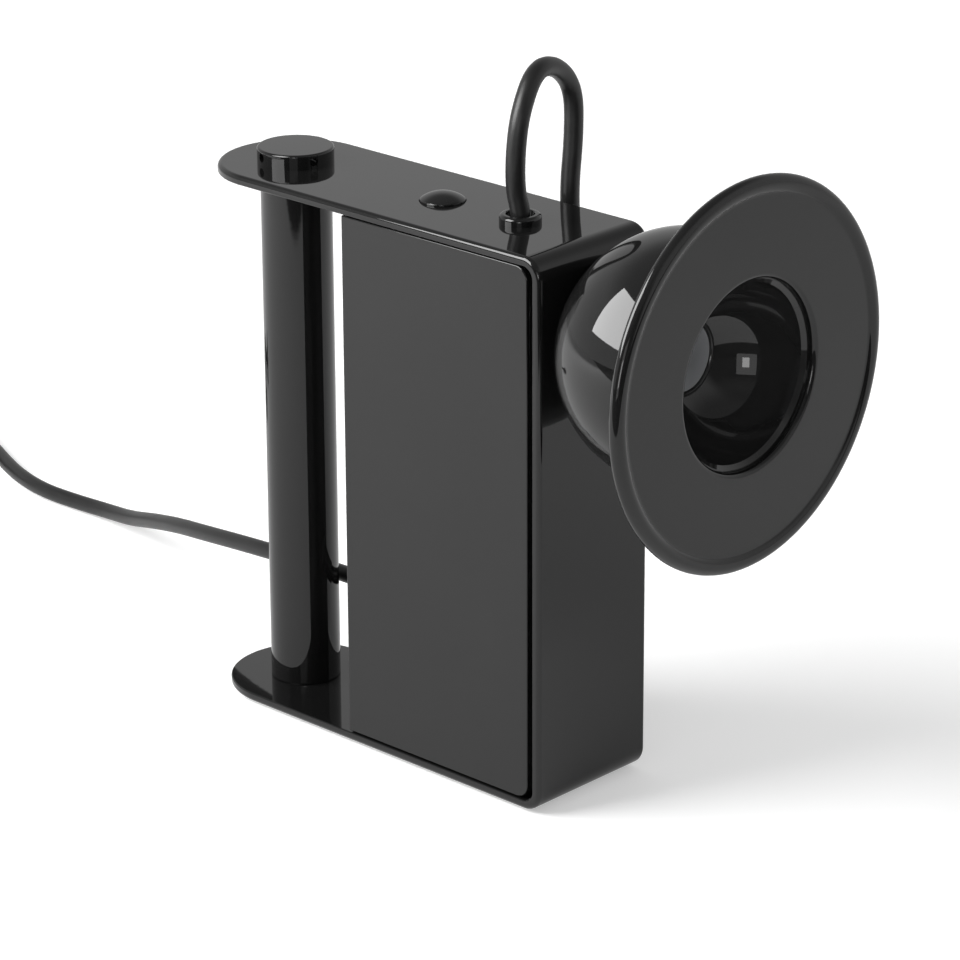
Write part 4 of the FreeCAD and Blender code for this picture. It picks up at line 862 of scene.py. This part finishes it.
# ------------------------------------------------------------------ frame and grip
@dataclass
class FrameAndGrip:
    """The bent strip, the grip post and the cap nut that clamps it."""

    palette: Palette
    front: float = 89.0
    post: float = POST_X
    half_width: float = 29.0
    low: float = 1.0
    high: float = TOP
    strip: float = 3.5
    bend: float = 8.0
    outside_round: float = 1.8
    post_radius: float = 13.35
    cap_radius: float = 14.35
    cap_height: float = 5.6
    cap_round: float = 0.9
    button_way: float = 8.6
    bush_way: float = 5.1
    seat_way: float = 18.76
    foot_recess: float = 9.1
    screw_way: float = 3.9
    screw_places: Pair = (74.9, -0.3)
    spanner_ways: int = 4
    spanner_first: float = -16.0
    spanner_radius: float = 1.7
    spanner_depth: float = 3.5

    def build(self) -> None:
        """Makes the three pieces."""
        self.strip_piece()
        self.post_piece()
        self.cap_piece()

    def half_round(self, blank: Blank, z: float) -> None:
        """Spins the vertex at the near edge of the post's line round to the far edge, and fills the half disc."""
        blank.pick(lambda p: abs(p.x - self.post) < CLOSE and p.y < 0 and abs(p.z - z) < CLOSE)
        bpy.ops.mesh.spin(steps=56, angle=math.pi, center=at(self.post, 0, z), axis=(0, 0, 1))
        bpy.ops.mesh.select_all(action="SELECT")
        bpy.ops.mesh.remove_doubles(threshold=1e-6)
        blank.pick(lambda p: p.x < self.post + CLOSE and abs(p.z - z) < CLOSE)
        bpy.ops.mesh.edge_face_add()

    def strip_piece(self) -> bpy.types.Object:
        """Bends the strip out of one sheet, thickens it and drills it."""
        blank = Blank.vertex("c_frame_strip", at(self.post, -self.half_width, self.low))
        moves = (
            (0, 2 * self.half_width, 0),
            (self.front - self.post, 0, 0),
            (0, 0, self.high - self.low),
            (self.post - self.front, 0, 0),
        )
        with editing(blank.obj):
            bpy.ops.mesh.select_all(action="SELECT")
            bpy.ops.mesh.extrude_vertices_move(TRANSFORM_OT_translate={"value": at(*moves[0])})
            bpy.ops.mesh.select_all(action="SELECT")
            for move in moves[1:]:
                bpy.ops.mesh.extrude_region_move(TRANSFORM_OT_translate={"value": at(*move)})
            self.half_round(blank, self.low)
            self.half_round(blank, self.high)
            blank.round_edges(self.is_bend, self.bend, 18)
            bpy.ops.mesh.select_all(action="SELECT")
            bpy.ops.mesh.normals_make_consistent(inside=False)
        self.face_out(blank)
        blank.modify("SOLIDIFY", thickness=self.strip * MM, offset=-1.0, use_even_offset=True)
        self.round_outside(blank)
        blank.ease(0.5, 3, 50.0)
        up = Vector((0, 0, 1))
        blank.drill(
            Blank.bar("button way", self.button_way, (BUTTON_X, 0, 200), 20, up, 96),
            Blank.bar("bush way", self.bush_way, (BUSH_X, 0, 200), 20, up),
            Blank.bar("seat way", self.seat_way, (80, 0, BALL[2]), 20, Vector((1, 0, 0)), 128),
            Blank.bar("foot recess", self.foot_recess, (self.post, 0, 0), 3.5, up, 64),
            *(Blank.bar("screw way", self.screw_way, (x, 0, -2), 4.0, up) for x in self.screw_places),
        )
        blank.smooth(30.0)
        return blank.done(Body.BASE, "black_lacquer", self.palette["black_lacquer"], "c_frame")

    def is_bend(self, edge: bmesh.types.BMEdge) -> bool:
        """Whether an edge of the open sheet lies across it at the front."""
        a, b = (v.co / MM for v in edge.verts)
        return min(a.x, b.x) > self.front - CLOSE and abs(a.z - b.z) < 1

    def round_outside(self, blank: Blank) -> None:
        """Rounds the strip's edges on the outside of the C."""

        def outside(place: Vector) -> bool:
            """Whether a vertex lies on the outer face."""
            x, z = place.x / MM, place.z / MM
            bend_x = self.front - self.bend
            bend_z = min(max(z, self.low + self.bend), self.high - self.bend)
            if x > bend_x and bend_z != z:
                return math.hypot(x - bend_x, z - bend_z) > self.bend - self.strip / 2
            return x > self.front - self.strip / 2 or not self.low + self.strip / 2 < z < self.high - self.strip / 2

        def is_outer_edge(edge: bmesh.types.BMEdge) -> bool:
            """Whether an edge is a sharp one of the outer face."""
            return edge.calc_face_angle(0.0) > 1.0 and all(outside(v.co) for v in edge.verts)

        with editing(blank.obj):
            blank.round_edges(is_outer_edge, self.outside_round, 6)

    @staticmethod
    def face_out(blank: Blank) -> None:
        """Turns the open sheet so that its front face looks forwards."""
        front = max(blank.obj.data.polygons, key=lambda p: p.center.x * (abs(p.normal.x) > 0.9))
        if front.normal.x < 0:
            with editing(blank.obj):
                bpy.ops.mesh.select_all(action="SELECT")
                bpy.ops.mesh.flip_normals()

    def post_piece(self) -> bpy.types.Object:
        """Turns the grip post."""
        low, high, r = self.low + self.strip, self.high - self.strip, self.post_radius
        profile = [(low, 0), (low, r), (low + 1, r), (high - 1, r), (high, r), (high, 0)]
        blank = Blank.turned("grip_post_tube", profile, at(self.post, 0, 0), Axis.Z, 144)
        blank.ease(0.4).smooth()
        return blank.done(Body.BASE, "black_lacquer", self.palette["black_lacquer"], "grip_post")

    def cap_piece(self) -> bpy.types.Object:
        """Turns the cap nut, rounds its top edge and drills the spanner holes."""
        r, top = self.cap_radius, self.high + self.cap_height
        rounding = arc((top - self.cap_round, r - self.cap_round), self.cap_round, 90, 0, 7)
        profile = [(self.high, 0), (self.high, r), *rounding, (top, 0)]
        blank = Blank.turned("grip_cap_nut", profile, at(self.post, 0, 0), Axis.Z, 144)
        middle = self.high + self.cap_height / 2
        for k in range(self.spanner_ways):
            turn = math.radians(self.spanner_first + 360.0 / self.spanner_ways * k)
            out = Vector((math.cos(turn), math.sin(turn), 0))
            low = at(self.post, 0, middle) / MM + out * (r - self.spanner_depth)
            blank.drill(Blank.bar("spanner way", self.spanner_radius, tuple(low), 8, out, 40))
        blank.smooth(30.0)
        return blank.done(Body.BASE, "black_lacquer", self.palette["black_lacquer"], "grip_cap")


# ------------------------------------------------------------------ box
@dataclass
class Box:
    """The flat box between the plates: its side covers."""

    palette: Palette
    rear: float = -8.1
    front: float = 82.7
    low: float = 5.0
    high: float = 207.0
    outer: float = 28.5
    thickness: float = 2.0
    corner: float = 5.5
    edge: float = 0.55
    screw_inset: float = 8.0
    sink_small: float = 1.6
    sink_wide: float = 3.05
    sink_depth: float = 1.45
    sink_middle: float = 0.7

    def build(self) -> None:
        """Makes both covers."""
        for side, name, node in ((-1, "near_cover", "side_cover_near"), (1, "far_cover", "side_cover_far")):
            self.cover(side, name, node)

    def cover(self, side: int, name: str, node: str) -> bpy.types.Object:
        """Makes one cover: rounds its front corners, then its outer rim.

        Args:
            side: -1 for the near side, 1 for the far side.
            name: Name of the piece.
            node: The node it stands for.

        Returns:
            The cover.
        """
        ys = sorted((side * (self.outer - self.thickness), side * self.outer))
        blank = Blank.cube(name, (self.rear, ys[0], self.low), (self.front, ys[1], self.high))

        def is_front_corner(edge: bmesh.types.BMEdge) -> bool:
            """Whether an edge runs through the plate at one of its front corners."""
            a, b = (v.co / MM for v in edge.verts)
            return min(a.x, b.x) > self.front - CLOSE and abs(a.y - b.y) > 1

        with editing(blank.obj):
            blank.round_edges(is_front_corner, self.corner, 14)
        blank.ease(self.edge, 3, 50.0)
        if side > 0:
            for x in (self.rear + self.screw_inset, self.front - self.screw_inset):
                for z in (self.low + self.screw_inset, self.high - self.screw_inset):
                    blank.drill(self.sink(x, z))
        blank.smooth(30.0)
        return blank.done(Body.BASE, "black_lacquer", self.palette["black_lacquer"], node)

    def sink(self, x: float, z: float) -> Blank:
        """The countersunk way of one cover screw."""
        deselect()
        bpy.ops.mesh.primitive_cone_add(
            vertices=48,
            radius1=self.sink_small * MM,
            radius2=self.sink_wide * MM,
            depth=self.sink_depth * MM,
            location=at(x, self.outer - self.sink_middle, z),
            rotation=(-math.pi / 2, 0, 0),
        )
        return Blank("cover screw way")


# ------------------------------------------------------------------ button, bush, seat
@dataclass
class TopFittings:
    """The push button, its return spring and the cable bush on the top plate."""

    palette: Palette
    top: float = TOP
    button_x: float = BUTTON_X
    button_radius: float = 8.35
    button_proud: float = 3.4
    button_dome: float = 2.7
    button_edge: float = 0.45
    lip_low: float = 206.0
    lip_width: float = 1.2
    lip_thickness: float = 1.2
    stem_length: float = 8.0
    stem_radius: float = 2.4
    bush_x: float = BUSH_X
    bush_radius: float = 7.65
    bush_height: float = 3.2
    bush_round: float = 1.5
    bush_bore: float = 3.65
    sleeve_low: float = 199.0
    sleeve_radius: float = 5.0
    recess_radius: float = 5.2
    recess_depth: float = 1.5
    recess_edge: float = 0.25
    spring_low: float = 190.5
    spring_high: float = 206.0
    spring_radius: float = 5.05
    spring_wire: float = 0.45
    spring_turns: int = 5
    button_stroke: float = 2.0

    def build(self) -> None:
        """Makes the three pieces."""
        self.button()
        self.spring()
        self.bush()

    def button(self) -> bpy.types.Object:
        """Turns the domed button with its lip and stem."""
        shoulder = self.top + self.button_proud - self.button_dome
        sphere = (self.button_radius**2 + self.button_dome**2) / (2 * self.button_dome)
        reach = math.degrees(math.asin((self.button_radius - self.button_edge) / sphere))
        dome = arc((shoulder + self.button_dome - sphere, 0), sphere, reach, 0, 14)
        low, lip = self.lip_low, self.button_radius + self.lip_width
        profile = [
            (low - self.stem_length, 0),
            (low - self.stem_length, self.stem_radius),
            (low, self.stem_radius),
            (low, lip),
            (low + self.lip_thickness, lip),
            (low + self.lip_thickness, self.button_radius),
            (shoulder - 0.2, self.button_radius),
            (shoulder - 0.02, self.button_radius - 0.12),
            *dome,
        ]
        blank = Blank.turned("push_button_cap", profile, at(self.button_x, 0, 0), Axis.Z, 112)
        blank.smooth()
        return blank.done(Body.BUTTON, "button_black", self.palette["button_black"], "push_button")

    def spring(self) -> bpy.types.Object:
        """Winds the return spring, which shortens as the button goes down."""
        deselect()
        wire, low = self.spring_wire, self.spring_low + self.spring_wire
        rise = self.spring_high - self.spring_wire - low
        bpy.ops.mesh.primitive_circle_add(
            vertices=12, radius=wire * MM, location=at(self.spring_radius, 0, 0), rotation=(math.pi / 2, 0, 0)
        )
        blank = Blank("return_spring")
        steps = 32 * self.spring_turns
        full = 2 * math.pi * self.spring_turns
        blank.modify("SCREW", angle=full, screw_offset=rise * MM, steps=steps, render_steps=steps)
        with editing(blank.obj):
            bpy.ops.mesh.select_all(action="SELECT")
            bpy.ops.transform.translate(value=at(self.button_x, 0, low))
            bpy.ops.mesh.select_all(action="DESELECT")
            bpy.ops.mesh.select_non_manifold()
            bpy.ops.mesh.fill_holes(sides=0)
        blank.close()
        blank.smooth()
        obj = blank.done(Body.BASE, "spring_steel", self.palette["spring_steel"], "button_spring")
        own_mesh(obj)
        return obj

    def bush(self) -> bpy.types.Object:
        """Turns the bush with its bore and sleeve."""
        r, top, bore = self.bush_radius, self.top + self.bush_height, self.bush_bore
        floor = top - self.recess_depth
        profile = [
            (self.sleeve_low, bore),
            (self.sleeve_low, self.sleeve_radius),
            (self.top, self.sleeve_radius),
            (self.top, r),
            *arc((top - self.bush_round, r - self.bush_round), self.bush_round, 90, 0, 11),
            (top, self.recess_radius + self.recess_edge),
            (top - self.recess_edge, self.recess_radius),
            (floor, self.recess_radius),
            (floor, bore),
            (self.sleeve_low, bore),
        ]
        blank = Blank.turned("cable_bush", profile, at(self.bush_x, 0, 0), Axis.Z, 112)
        blank.smooth()
        return blank.done(Body.BASE, "black_lacquer", self.palette["black_lacquer"], "top_bush")


# ------------------------------------------------------------------ head
@dataclass
class Head:
    """The ball, its brim and what is in its bowl. Lengths along the axis are from the ball's centre."""

    palette: Palette
    centre: Point = BALL
    ball_radius: float = 45.8
    shell: float = 1.5
    brim_radius: float = 70.3
    brim_face: float = 29.0
    brim_thickness: float = 2.0
    bead: Pair = (2.7, 3.4)
    bead_proud: float = 1.2
    mouth: float = 34.2
    mouth_round: float = 2.0
    collar: float = 0.8
    bowl_radius: float = 32.1
    bowl_centre: float = 24.5
    bowl_wall: float = 1.2
    bowl_rim: float = 2.0
    lip: Pair = (1.4, 1.5)
    lamp_hole: float = 13.1
    lamp_front: float = -0.2
    barrel_rear: float = -41.8
    barrel_foot: Pair = (-39.9, 14.5)
    barrel_radius: float = 13.0
    barrel_bore: Pair = (-11.2, 10.5)
    ring_radius: float = 14.05
    ring_back: float = 4.0
    ring_front: float = 1.0
    lens_radius: float = 12.2
    lens_depth: float = 2.0
    lens_dome: float = 1.0
    gland_angle: float = 120.0
    gland_inside: float = 41.4
    gland_bore: float = 3.7
    gland_neck: float = 5.4
    gland_shoulder: float = 6.0
    gland_tip: float = 4.4
    gland_length: float = 9.0
    gland_ribs: int = 4

    def build(self) -> None:
        """Makes every piece of the head that is seen."""
        self.ball()
        self.brim()
        self.bowl()
        self.lamp()
        self.gland()

    def turned(self, name: str, profile: Profile, steps: int = 160) -> Blank:
        """Turns a profile about the head's axis."""
        return Blank.turned(name, profile, at(*self.centre), Axis.X, steps)

    def ball(self) -> bpy.types.Object:
        """Spins the shell."""
        rear = self.brim_face - self.brim_thickness
        inner = self.ball_radius - self.shell
        first = math.degrees(math.acos(rear / self.ball_radius))
        last = math.degrees(math.acos(rear / inner))
        profile = [*arc((0, 0), self.ball_radius, first, 180, 72), *arc((0, 0), inner, 180, last, 24)]
        profile.append(profile[0])
        blank = self.turned("ball_shell", profile, 176)
        blank.smooth()
        return blank.done(Body.HEAD, "head_lacquer", self.palette["head_lacquer"], "head_shell")

    def brim(self) -> bpy.types.Object:
        """Spins the brim: mouth rounding, flat face and rolled bead."""
        face, rear, r = self.brim_face, self.brim_face - self.brim_thickness, self.mouth
        deep, wide = self.bead
        bead_x, bead_r = face + self.bead_proud - deep, self.brim_radius - wide

        def bead_point(angle: float) -> Pair:
            """A point of the bead's oval section."""
            turn = math.radians(angle)
            return (bead_x + deep * math.cos(turn), bead_r + wide * math.sin(turn))

        front = -math.degrees(math.acos((face - bead_x) / deep))
        back = 180 + math.degrees(math.acos(-(rear - bead_x) / deep))
        bead = [bead_point(front + (back - front) * k / 40) for k in range(41)]
        collar_end = self.bowl_centre - self.bowl_rim
        rounding = arc((face - self.mouth_round, r + self.mouth_round), self.mouth_round, 270, 360, 9)
        profile = [
            (collar_end, r),
            *rounding,
            (face, r + 8),
            (face, bead[0][1] - 1.0),
            *bead,
            (rear, bead[-1][1] - 1.0),
            (rear, r + 6),
            (rear, r + self.collar),
            (collar_end, r + self.collar),
            (collar_end, r),
        ]
        blank = self.turned("brim_ring", profile, 192)
        blank.smooth(50.0)
        return blank.done(Body.HEAD, "head_lacquer", self.palette["head_lacquer"], "brim")

    def bowl(self) -> bpy.types.Object:
        """Spins the half-round bowl with its bevelled lip."""
        centre = (self.bowl_centre, 0.0)
        inner, outer, rim = self.bowl_radius, self.bowl_radius + self.bowl_wall, self.mouth - 0.1
        inner_end = 180 - math.degrees(math.asin(self.lamp_hole / inner))
        outer_start = 180 - math.degrees(math.asin(self.lamp_hole / outer))
        outer_end = 90 + math.degrees(math.asin(self.bowl_rim / outer))
        deep, wide = self.lip
        lip_front = self.bowl_centre + deep
        rim_back = self.bowl_centre - self.bowl_rim
        profile = [
            (lip_front, rim),
            (lip_front, inner + wide),
            *arc(centre, inner, 90, inner_end, 64),
            *arc(centre, outer, outer_start, outer_end, 40),
            (rim_back, rim),
            (lip_front, rim),
        ]
        blank = self.turned("bowl", profile, 160)
        blank.smooth(40.0)
        return blank.done(Body.HEAD, "bowl_black", self.palette["bowl_black"], "reflector")

    def lamp(self) -> None:
        """Turns the barrel, the lens ring and the lens."""
        front, back = self.lamp_front, self.lamp_front - self.lens_depth
        foot, foot_radius = self.barrel_foot
        floor, bore = self.barrel_bore
        barrel = [
            (self.barrel_rear, 0),
            (self.barrel_rear, foot_radius),
            (foot, foot_radius),
            (foot, self.barrel_radius),
            (back, self.barrel_radius),
            (back, bore),
            (floor, bore),
            (floor, 0),
        ]
        blank = self.turned("lamp_barrel_tube", barrel, 112)
        blank.ease(0.15, 2).smooth()
        blank.done(Body.HEAD, "barrel_black", self.palette["barrel_black"], "lamp_barrel")
        ring = [
            (front - self.ring_back, self.lamp_hole),
            (front - self.ring_back, self.ring_radius),
            (front + 0.7, self.ring_radius),
            (front + self.ring_front, 13.75),
            (front + self.ring_front, 12.75),
            (front + 0.4, 12.3),
            (back, 12.3),
            (back, self.lamp_hole),
            (front - self.ring_back, self.lamp_hole),
        ]
        blank = self.turned("lens_ring", ring, 112)
        blank.ease(0.1, 2).smooth()
        blank.done(Body.HEAD, "bezel_black", self.palette["bezel_black"], "lens_bezel")
        r, dome = self.lens_radius, self.lens_dome
        sphere = (r**2 + dome**2) / (2 * dome)
        reach = math.degrees(math.asin(r / sphere))
        glass = [(back, 0), (back, r), *arc((front + dome - sphere, 0), sphere, reach, 0, 20)]
        blank = self.turned("lens_disc", glass, 112)
        blank.smooth()
        blank.done(Body.HEAD, "lens_frosted", self.palette["lens_frosted"], "lens")

    def gland(self) -> bpy.types.Object:
        """Turns the ribbed strain relief and sets it at its angle on the ball."""
        shoulder = self.ball_radius + 0.3
        tip = self.ball_radius + 9.3
        inside, bore, wide = self.gland_inside, self.gland_bore, self.gland_shoulder
        profile: list[Pair] = [(inside, bore), (inside, self.gland_neck), (shoulder, self.gland_neck), (shoulder, wide)]
        for k in range(self.gland_ribs):
            start = shoulder + 1.6 + 1.9 * k
            r = wide - 1.6 * (start - shoulder) / self.gland_length
            profile += [(start, r), (start + 0.2, r - 0.45), (start + 0.8, r - 0.5), (start + 1.0, r - 0.16)]
        profile += [(tip, self.gland_tip), (tip, bore), (inside, bore)]
        blank = Blank.turned("head_strain_relief", profile, Vector((0, 0, 0)), Axis.X, 72)
        blank.ease(0.12, 2).smooth()
        obj = blank.obj
        obj.rotation_euler = Euler((0, 0, math.radians(self.gland_angle)))
        obj.location = at(*self.centre)
        alone(obj)
        bpy.ops.object.transform_apply(location=True, rotation=True, scale=True)
        return blank.done(Body.HEAD, "gland_black", self.palette["gland_black"], "head_gland")


# ------------------------------------------------------------------ pieces on the mains cord
@dataclass
class MainsPieces:
    """The rear strain relief. The plug, its pins and the tie round the coil stay plain nodes."""

    palette: Palette
    exit: Point = (-8.1, 18.5, 41.0)
    inside: float = -3.5
    bore: float = 3.35
    neck: float = 6.6
    flange: float = 7.8
    tip: float = 4.4
    gland_length: float = 28.0
    ribs: int = 9

    def build(self) -> None:
        """Makes the piece that isn't a plain node."""
        self.gland()

    def gland(self) -> bpy.types.Object:
        """Turns the long ribbed strain relief at the back of the box."""
        inside, bore, neck, flange, length = self.inside, self.bore, self.neck, self.flange, self.gland_length
        profile: list[Pair] = [(inside, bore), (inside, neck), (0.0, neck), (0.0, flange)]
        profile += [(1.6, flange), (2.0, flange - 0.4), (2.0, 6.5)]
        for k in range(self.ribs):
            start = 3.4 + 2.6 * k
            r = neck - 2.2 * start / length
            profile += [(start, r), (start + 0.25, r - 0.7), (start + 1.2, r - 0.8), (start + 1.45, r - 0.12)]
        profile += [(length, self.tip), (length, bore), (inside, bore)]
        mirrored = [(-a, r) for a, r in profile]
        blank = Blank.turned("mains_strain_relief", mirrored, at(*self.exit), Axis.X, 72)
        blank.ease(0.15, 2).smooth()
        return blank.done(Body.BASE, "gland_black", self.palette["gland_black"], "mains_gland")


# ------------------------------------------------------------------ studio
@dataclass
class Studio:
    """Floor, lamps, world and camera. The floor's sizes and the lamps' distances are metres."""

    floor_radius: float = 9.0
    floor_drop: float = 0.0002
    floor_pale: float = 0.8
    painted_reflection_dark: float = 0.06
    # Painted shade: reflections see the floor darker, and nearly black beyond a line towards the camera.
    reflection_shade_way: Point = (0.643, -0.766, 0.0)
    reflection_shade_line: float = 0.54
    reflection_shade_fade: float = 0.03
    floor_glow: float = 0.36
    near_reflection_shade: float = 0.3
    daylight: float = 0.5
    room: float = 0.6
    ceiling: float = 0.25
    ceiling_from: Pair = (0.45, 0.8)
    dark_side: Point = (0.574, -0.819, 0.0)
    dark_side_from: Pair = (0.5, 0.72)
    dark_side_rise: Pair = (0.3, 0.75)
    dark_side_depth: Pair = (0.85, 0.45)
    camera_place: Point = (1032.7, -1057.9, 664.5)
    azimuth: float = 43.377
    elevation: float = 20.923
    roll: float = -0.27
    lens: float = 160.1

    def build(self) -> None:
        """Sets up everything that isn't the lamp."""
        self.camera()
        self.floor()
        self.world()
        self.lamps()
        scene = bpy.context.scene
        scene.view_settings.view_transform = "Standard"

    def camera(self) -> None:
        """Places the camera."""
        data = bpy.data.cameras.new("camera")
        data.lens = self.lens
        data.sensor_width = 36.0
        data.clip_end = 50.0
        obj = bpy.data.objects.new("camera", data)
        obj.location = at(*self.camera_place)
        look = Euler((math.radians(90.0 - self.elevation), 0, math.radians(self.azimuth)))
        obj.rotation_euler = look
        obj.rotation_euler.rotate_axis("Z", math.radians(self.roll))
        bpy.context.scene.collection.objects.link(obj)
        bpy.context.scene.camera = obj

    def floor(self) -> None:
        """Lays a pale floor that is white to the eye and keeps the shadow; in reflections it has painted shade, darker
        all over and nearly black beyond a line towards the camera.
        """
        deselect()
        bpy.ops.mesh.primitive_circle_add(
            vertices=96, radius=self.floor_radius, fill_type="NGON", location=(0, 0, -self.floor_drop)
        )
        obj = bpy.context.object
        obj.name = "floor"
        bpy.ops.object.transform_apply(location=True, rotation=True, scale=True)
        n = Nodes("floor")
        glossy = n.add("LightPath").outputs["Is Glossy Ray"]
        camera = n.add("LightPath").outputs["Is Camera Ray"]
        ahead = n.add("VectorMath", Vector=n.place)
        ahead.operation = "DOT_PRODUCT"
        ahead.inputs[1].default_value = self.reflection_shade_way
        edge = n.add(
            "MapRange",
            Value=ahead.outputs["Value"],
            From_Min=self.reflection_shade_line,
            From_Max=self.reflection_shade_line + self.reflection_shade_fade,
            To_Min=self.near_reflection_shade,
        )
        # Painted shade in reflections only: glossy rays see a darker floor, darkest beyond the line.
        painted_shade = n.product(edge.outputs["Result"], glossy)
        seen = n.add("Math", Value=camera)
        seen.operation = "MAXIMUM"
        n.tree.links.new(glossy, seen.inputs[1])
        n.link("Base Color", n.tint(painted_shade, (self.floor_pale,) * 3, (self.painted_reflection_dark,) * 3, 0.0, 1.0))
        n.link("Emission Strength", n.product(seen.outputs[0], n.spread(painted_shade, self.floor_glow, 0.0)))
        n.set(Roughness=0.9, Specular_IOR_Level=0.0, Emission_Color=(1, 1, 1, 1))
        dress(obj, n.material)

    def world(self) -> None:
        """Makes the surroundings: even as light, and in reflections darker overhead and beside the camera."""
        world = bpy.data.worlds.new("studio")
        bpy.context.scene.world = world
        world.use_nodes = True
        tree = world.node_tree
        back = tree.nodes["Background"]
        back.inputs["Color"].default_value = (1, 1, 1, 1)

        def ranged(value: Socket, span: Pair, levels: Pair) -> Socket:
            """A value mapped smoothly from one span to a pair of levels."""
            node = tree.nodes.new("ShaderNodeMapRange")
            node.interpolation_type = "SMOOTHSTEP"
            for name, number in zip(("From Min", "From Max", "To Min", "To Max"), (*span, *levels)):
                node.inputs[name].default_value = number
            tree.links.new(value, node.inputs["Value"])
            return node.outputs["Result"]

        def joined(kind: str, first: Socket, second: Socket) -> Socket:
            """Two values joined by one operation."""
            node = tree.nodes.new("ShaderNodeMath")
            node.operation = kind
            tree.links.new(first, node.inputs[0])
            tree.links.new(second, node.inputs[1])
            return node.outputs[0]

        direction = tree.nodes.new("ShaderNodeTexCoord").outputs["Generated"]
        height = tree.nodes.new("ShaderNodeSeparateXYZ")
        tree.links.new(direction, height.inputs[0])
        side = tree.nodes.new("ShaderNodeVectorMath")
        side.operation = "DOT_PRODUCT"
        tree.links.new(direction, side.inputs[0])
        side.inputs[1].default_value = self.dark_side
        rise = height.outputs["Z"]
        overhead = ranged(rise, self.ceiling_from, (self.room, self.ceiling))
        aside = ranged(side.outputs["Value"], self.dark_side_from, (0.0, 1.0))
        beside = joined("MULTIPLY", aside, ranged(rise, self.dark_side_rise, self.dark_side_depth))
        one = tree.nodes.new("ShaderNodeMath")
        one.operation = "SUBTRACT"
        one.inputs[0].default_value = 1.0
        tree.links.new(beside, one.inputs[1])
        mirrored = joined("MULTIPLY", overhead, one.outputs[0])
        path = tree.nodes.new("ShaderNodeLightPath")
        level = tree.nodes.new("ShaderNodeMapRange")
        level.inputs["To Min"].default_value = self.daylight
        tree.links.new(mirrored, level.inputs["To Max"])
        tree.links.new(path.outputs["Is Glossy Ray"], level.inputs["Value"])
        whole = joined("MAXIMUM", level.outputs["Result"], path.outputs["Is Camera Ray"])
        tree.links.new(whole, back.inputs["Strength"])

    def lamps(self) -> None:
        """Hangs the large softbox, a near one that only shows as its highlight, and two small windows."""
        key = self.softbox("key", azimuth=-132, elevation=31, distance=2.2, size=(1.55, 1.5), power=70)
        key.visible_glossy = False
        highlight = self.softbox(
            "highlight", azimuth=-127, elevation=32.2, distance=0.366, size=(0.225, 0.225), power=1.6
        )
        highlight.visible_diffuse = False
        self.softbox("window", azimuth=-56, elevation=6, distance=1.7, size=(0.75, 0.85), power=2.0)
        self.softbox("window pane", azimuth=-55, elevation=5, distance=1.6, size=(0.24, 0.34), power=1.3)

    def softbox(
        self, name: str, azimuth: float, elevation: float, distance: float, size: Pair, power: float
    ) -> bpy.types.Object:
        """Hangs one rectangular softbox that faces the head.

        Args:
            name: Name of the lamp.
            azimuth: Direction from the head, in degrees from +X.
            elevation: Height of that direction, in degrees.
            distance: Metres from the head.
            size: Width and height in metres.
            power: Watts.

        Returns:
            The lamp.
        """
        data = bpy.data.lights.new(name, "AREA")
        data.shape = "RECTANGLE"
        data.size, data.size_y = size
        data.energy = power
        obj = bpy.data.objects.new(name, data)
        a, e = math.radians(azimuth), math.radians(elevation)
        out = Vector((math.cos(a) * math.cos(e), math.sin(a) * math.cos(e), math.sin(e)))
        obj.location = at(*BALL) + out * distance
        obj.rotation_euler = out.to_track_quat("Z", "Y").to_euler()
        bpy.context.scene.collection.objects.link(obj)
        return obj


def main() -> None:
    """Dresses the lamp."""
    logging.basicConfig(level=logging.INFO, format="%(name)s %(message)s")
    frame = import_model()
    Studio().build()
    palette = Palette().mix()
    palette.dress_nodes(frame)
    MainsCord(palette).build()
    HeadLead(palette).build()
    FrameAndGrip(palette).build()
    Box(palette).build()
    TopFittings(palette).build()
    Head(palette).build()
    MainsPieces(palette).build()


if __name__ == "__main__":
    main()
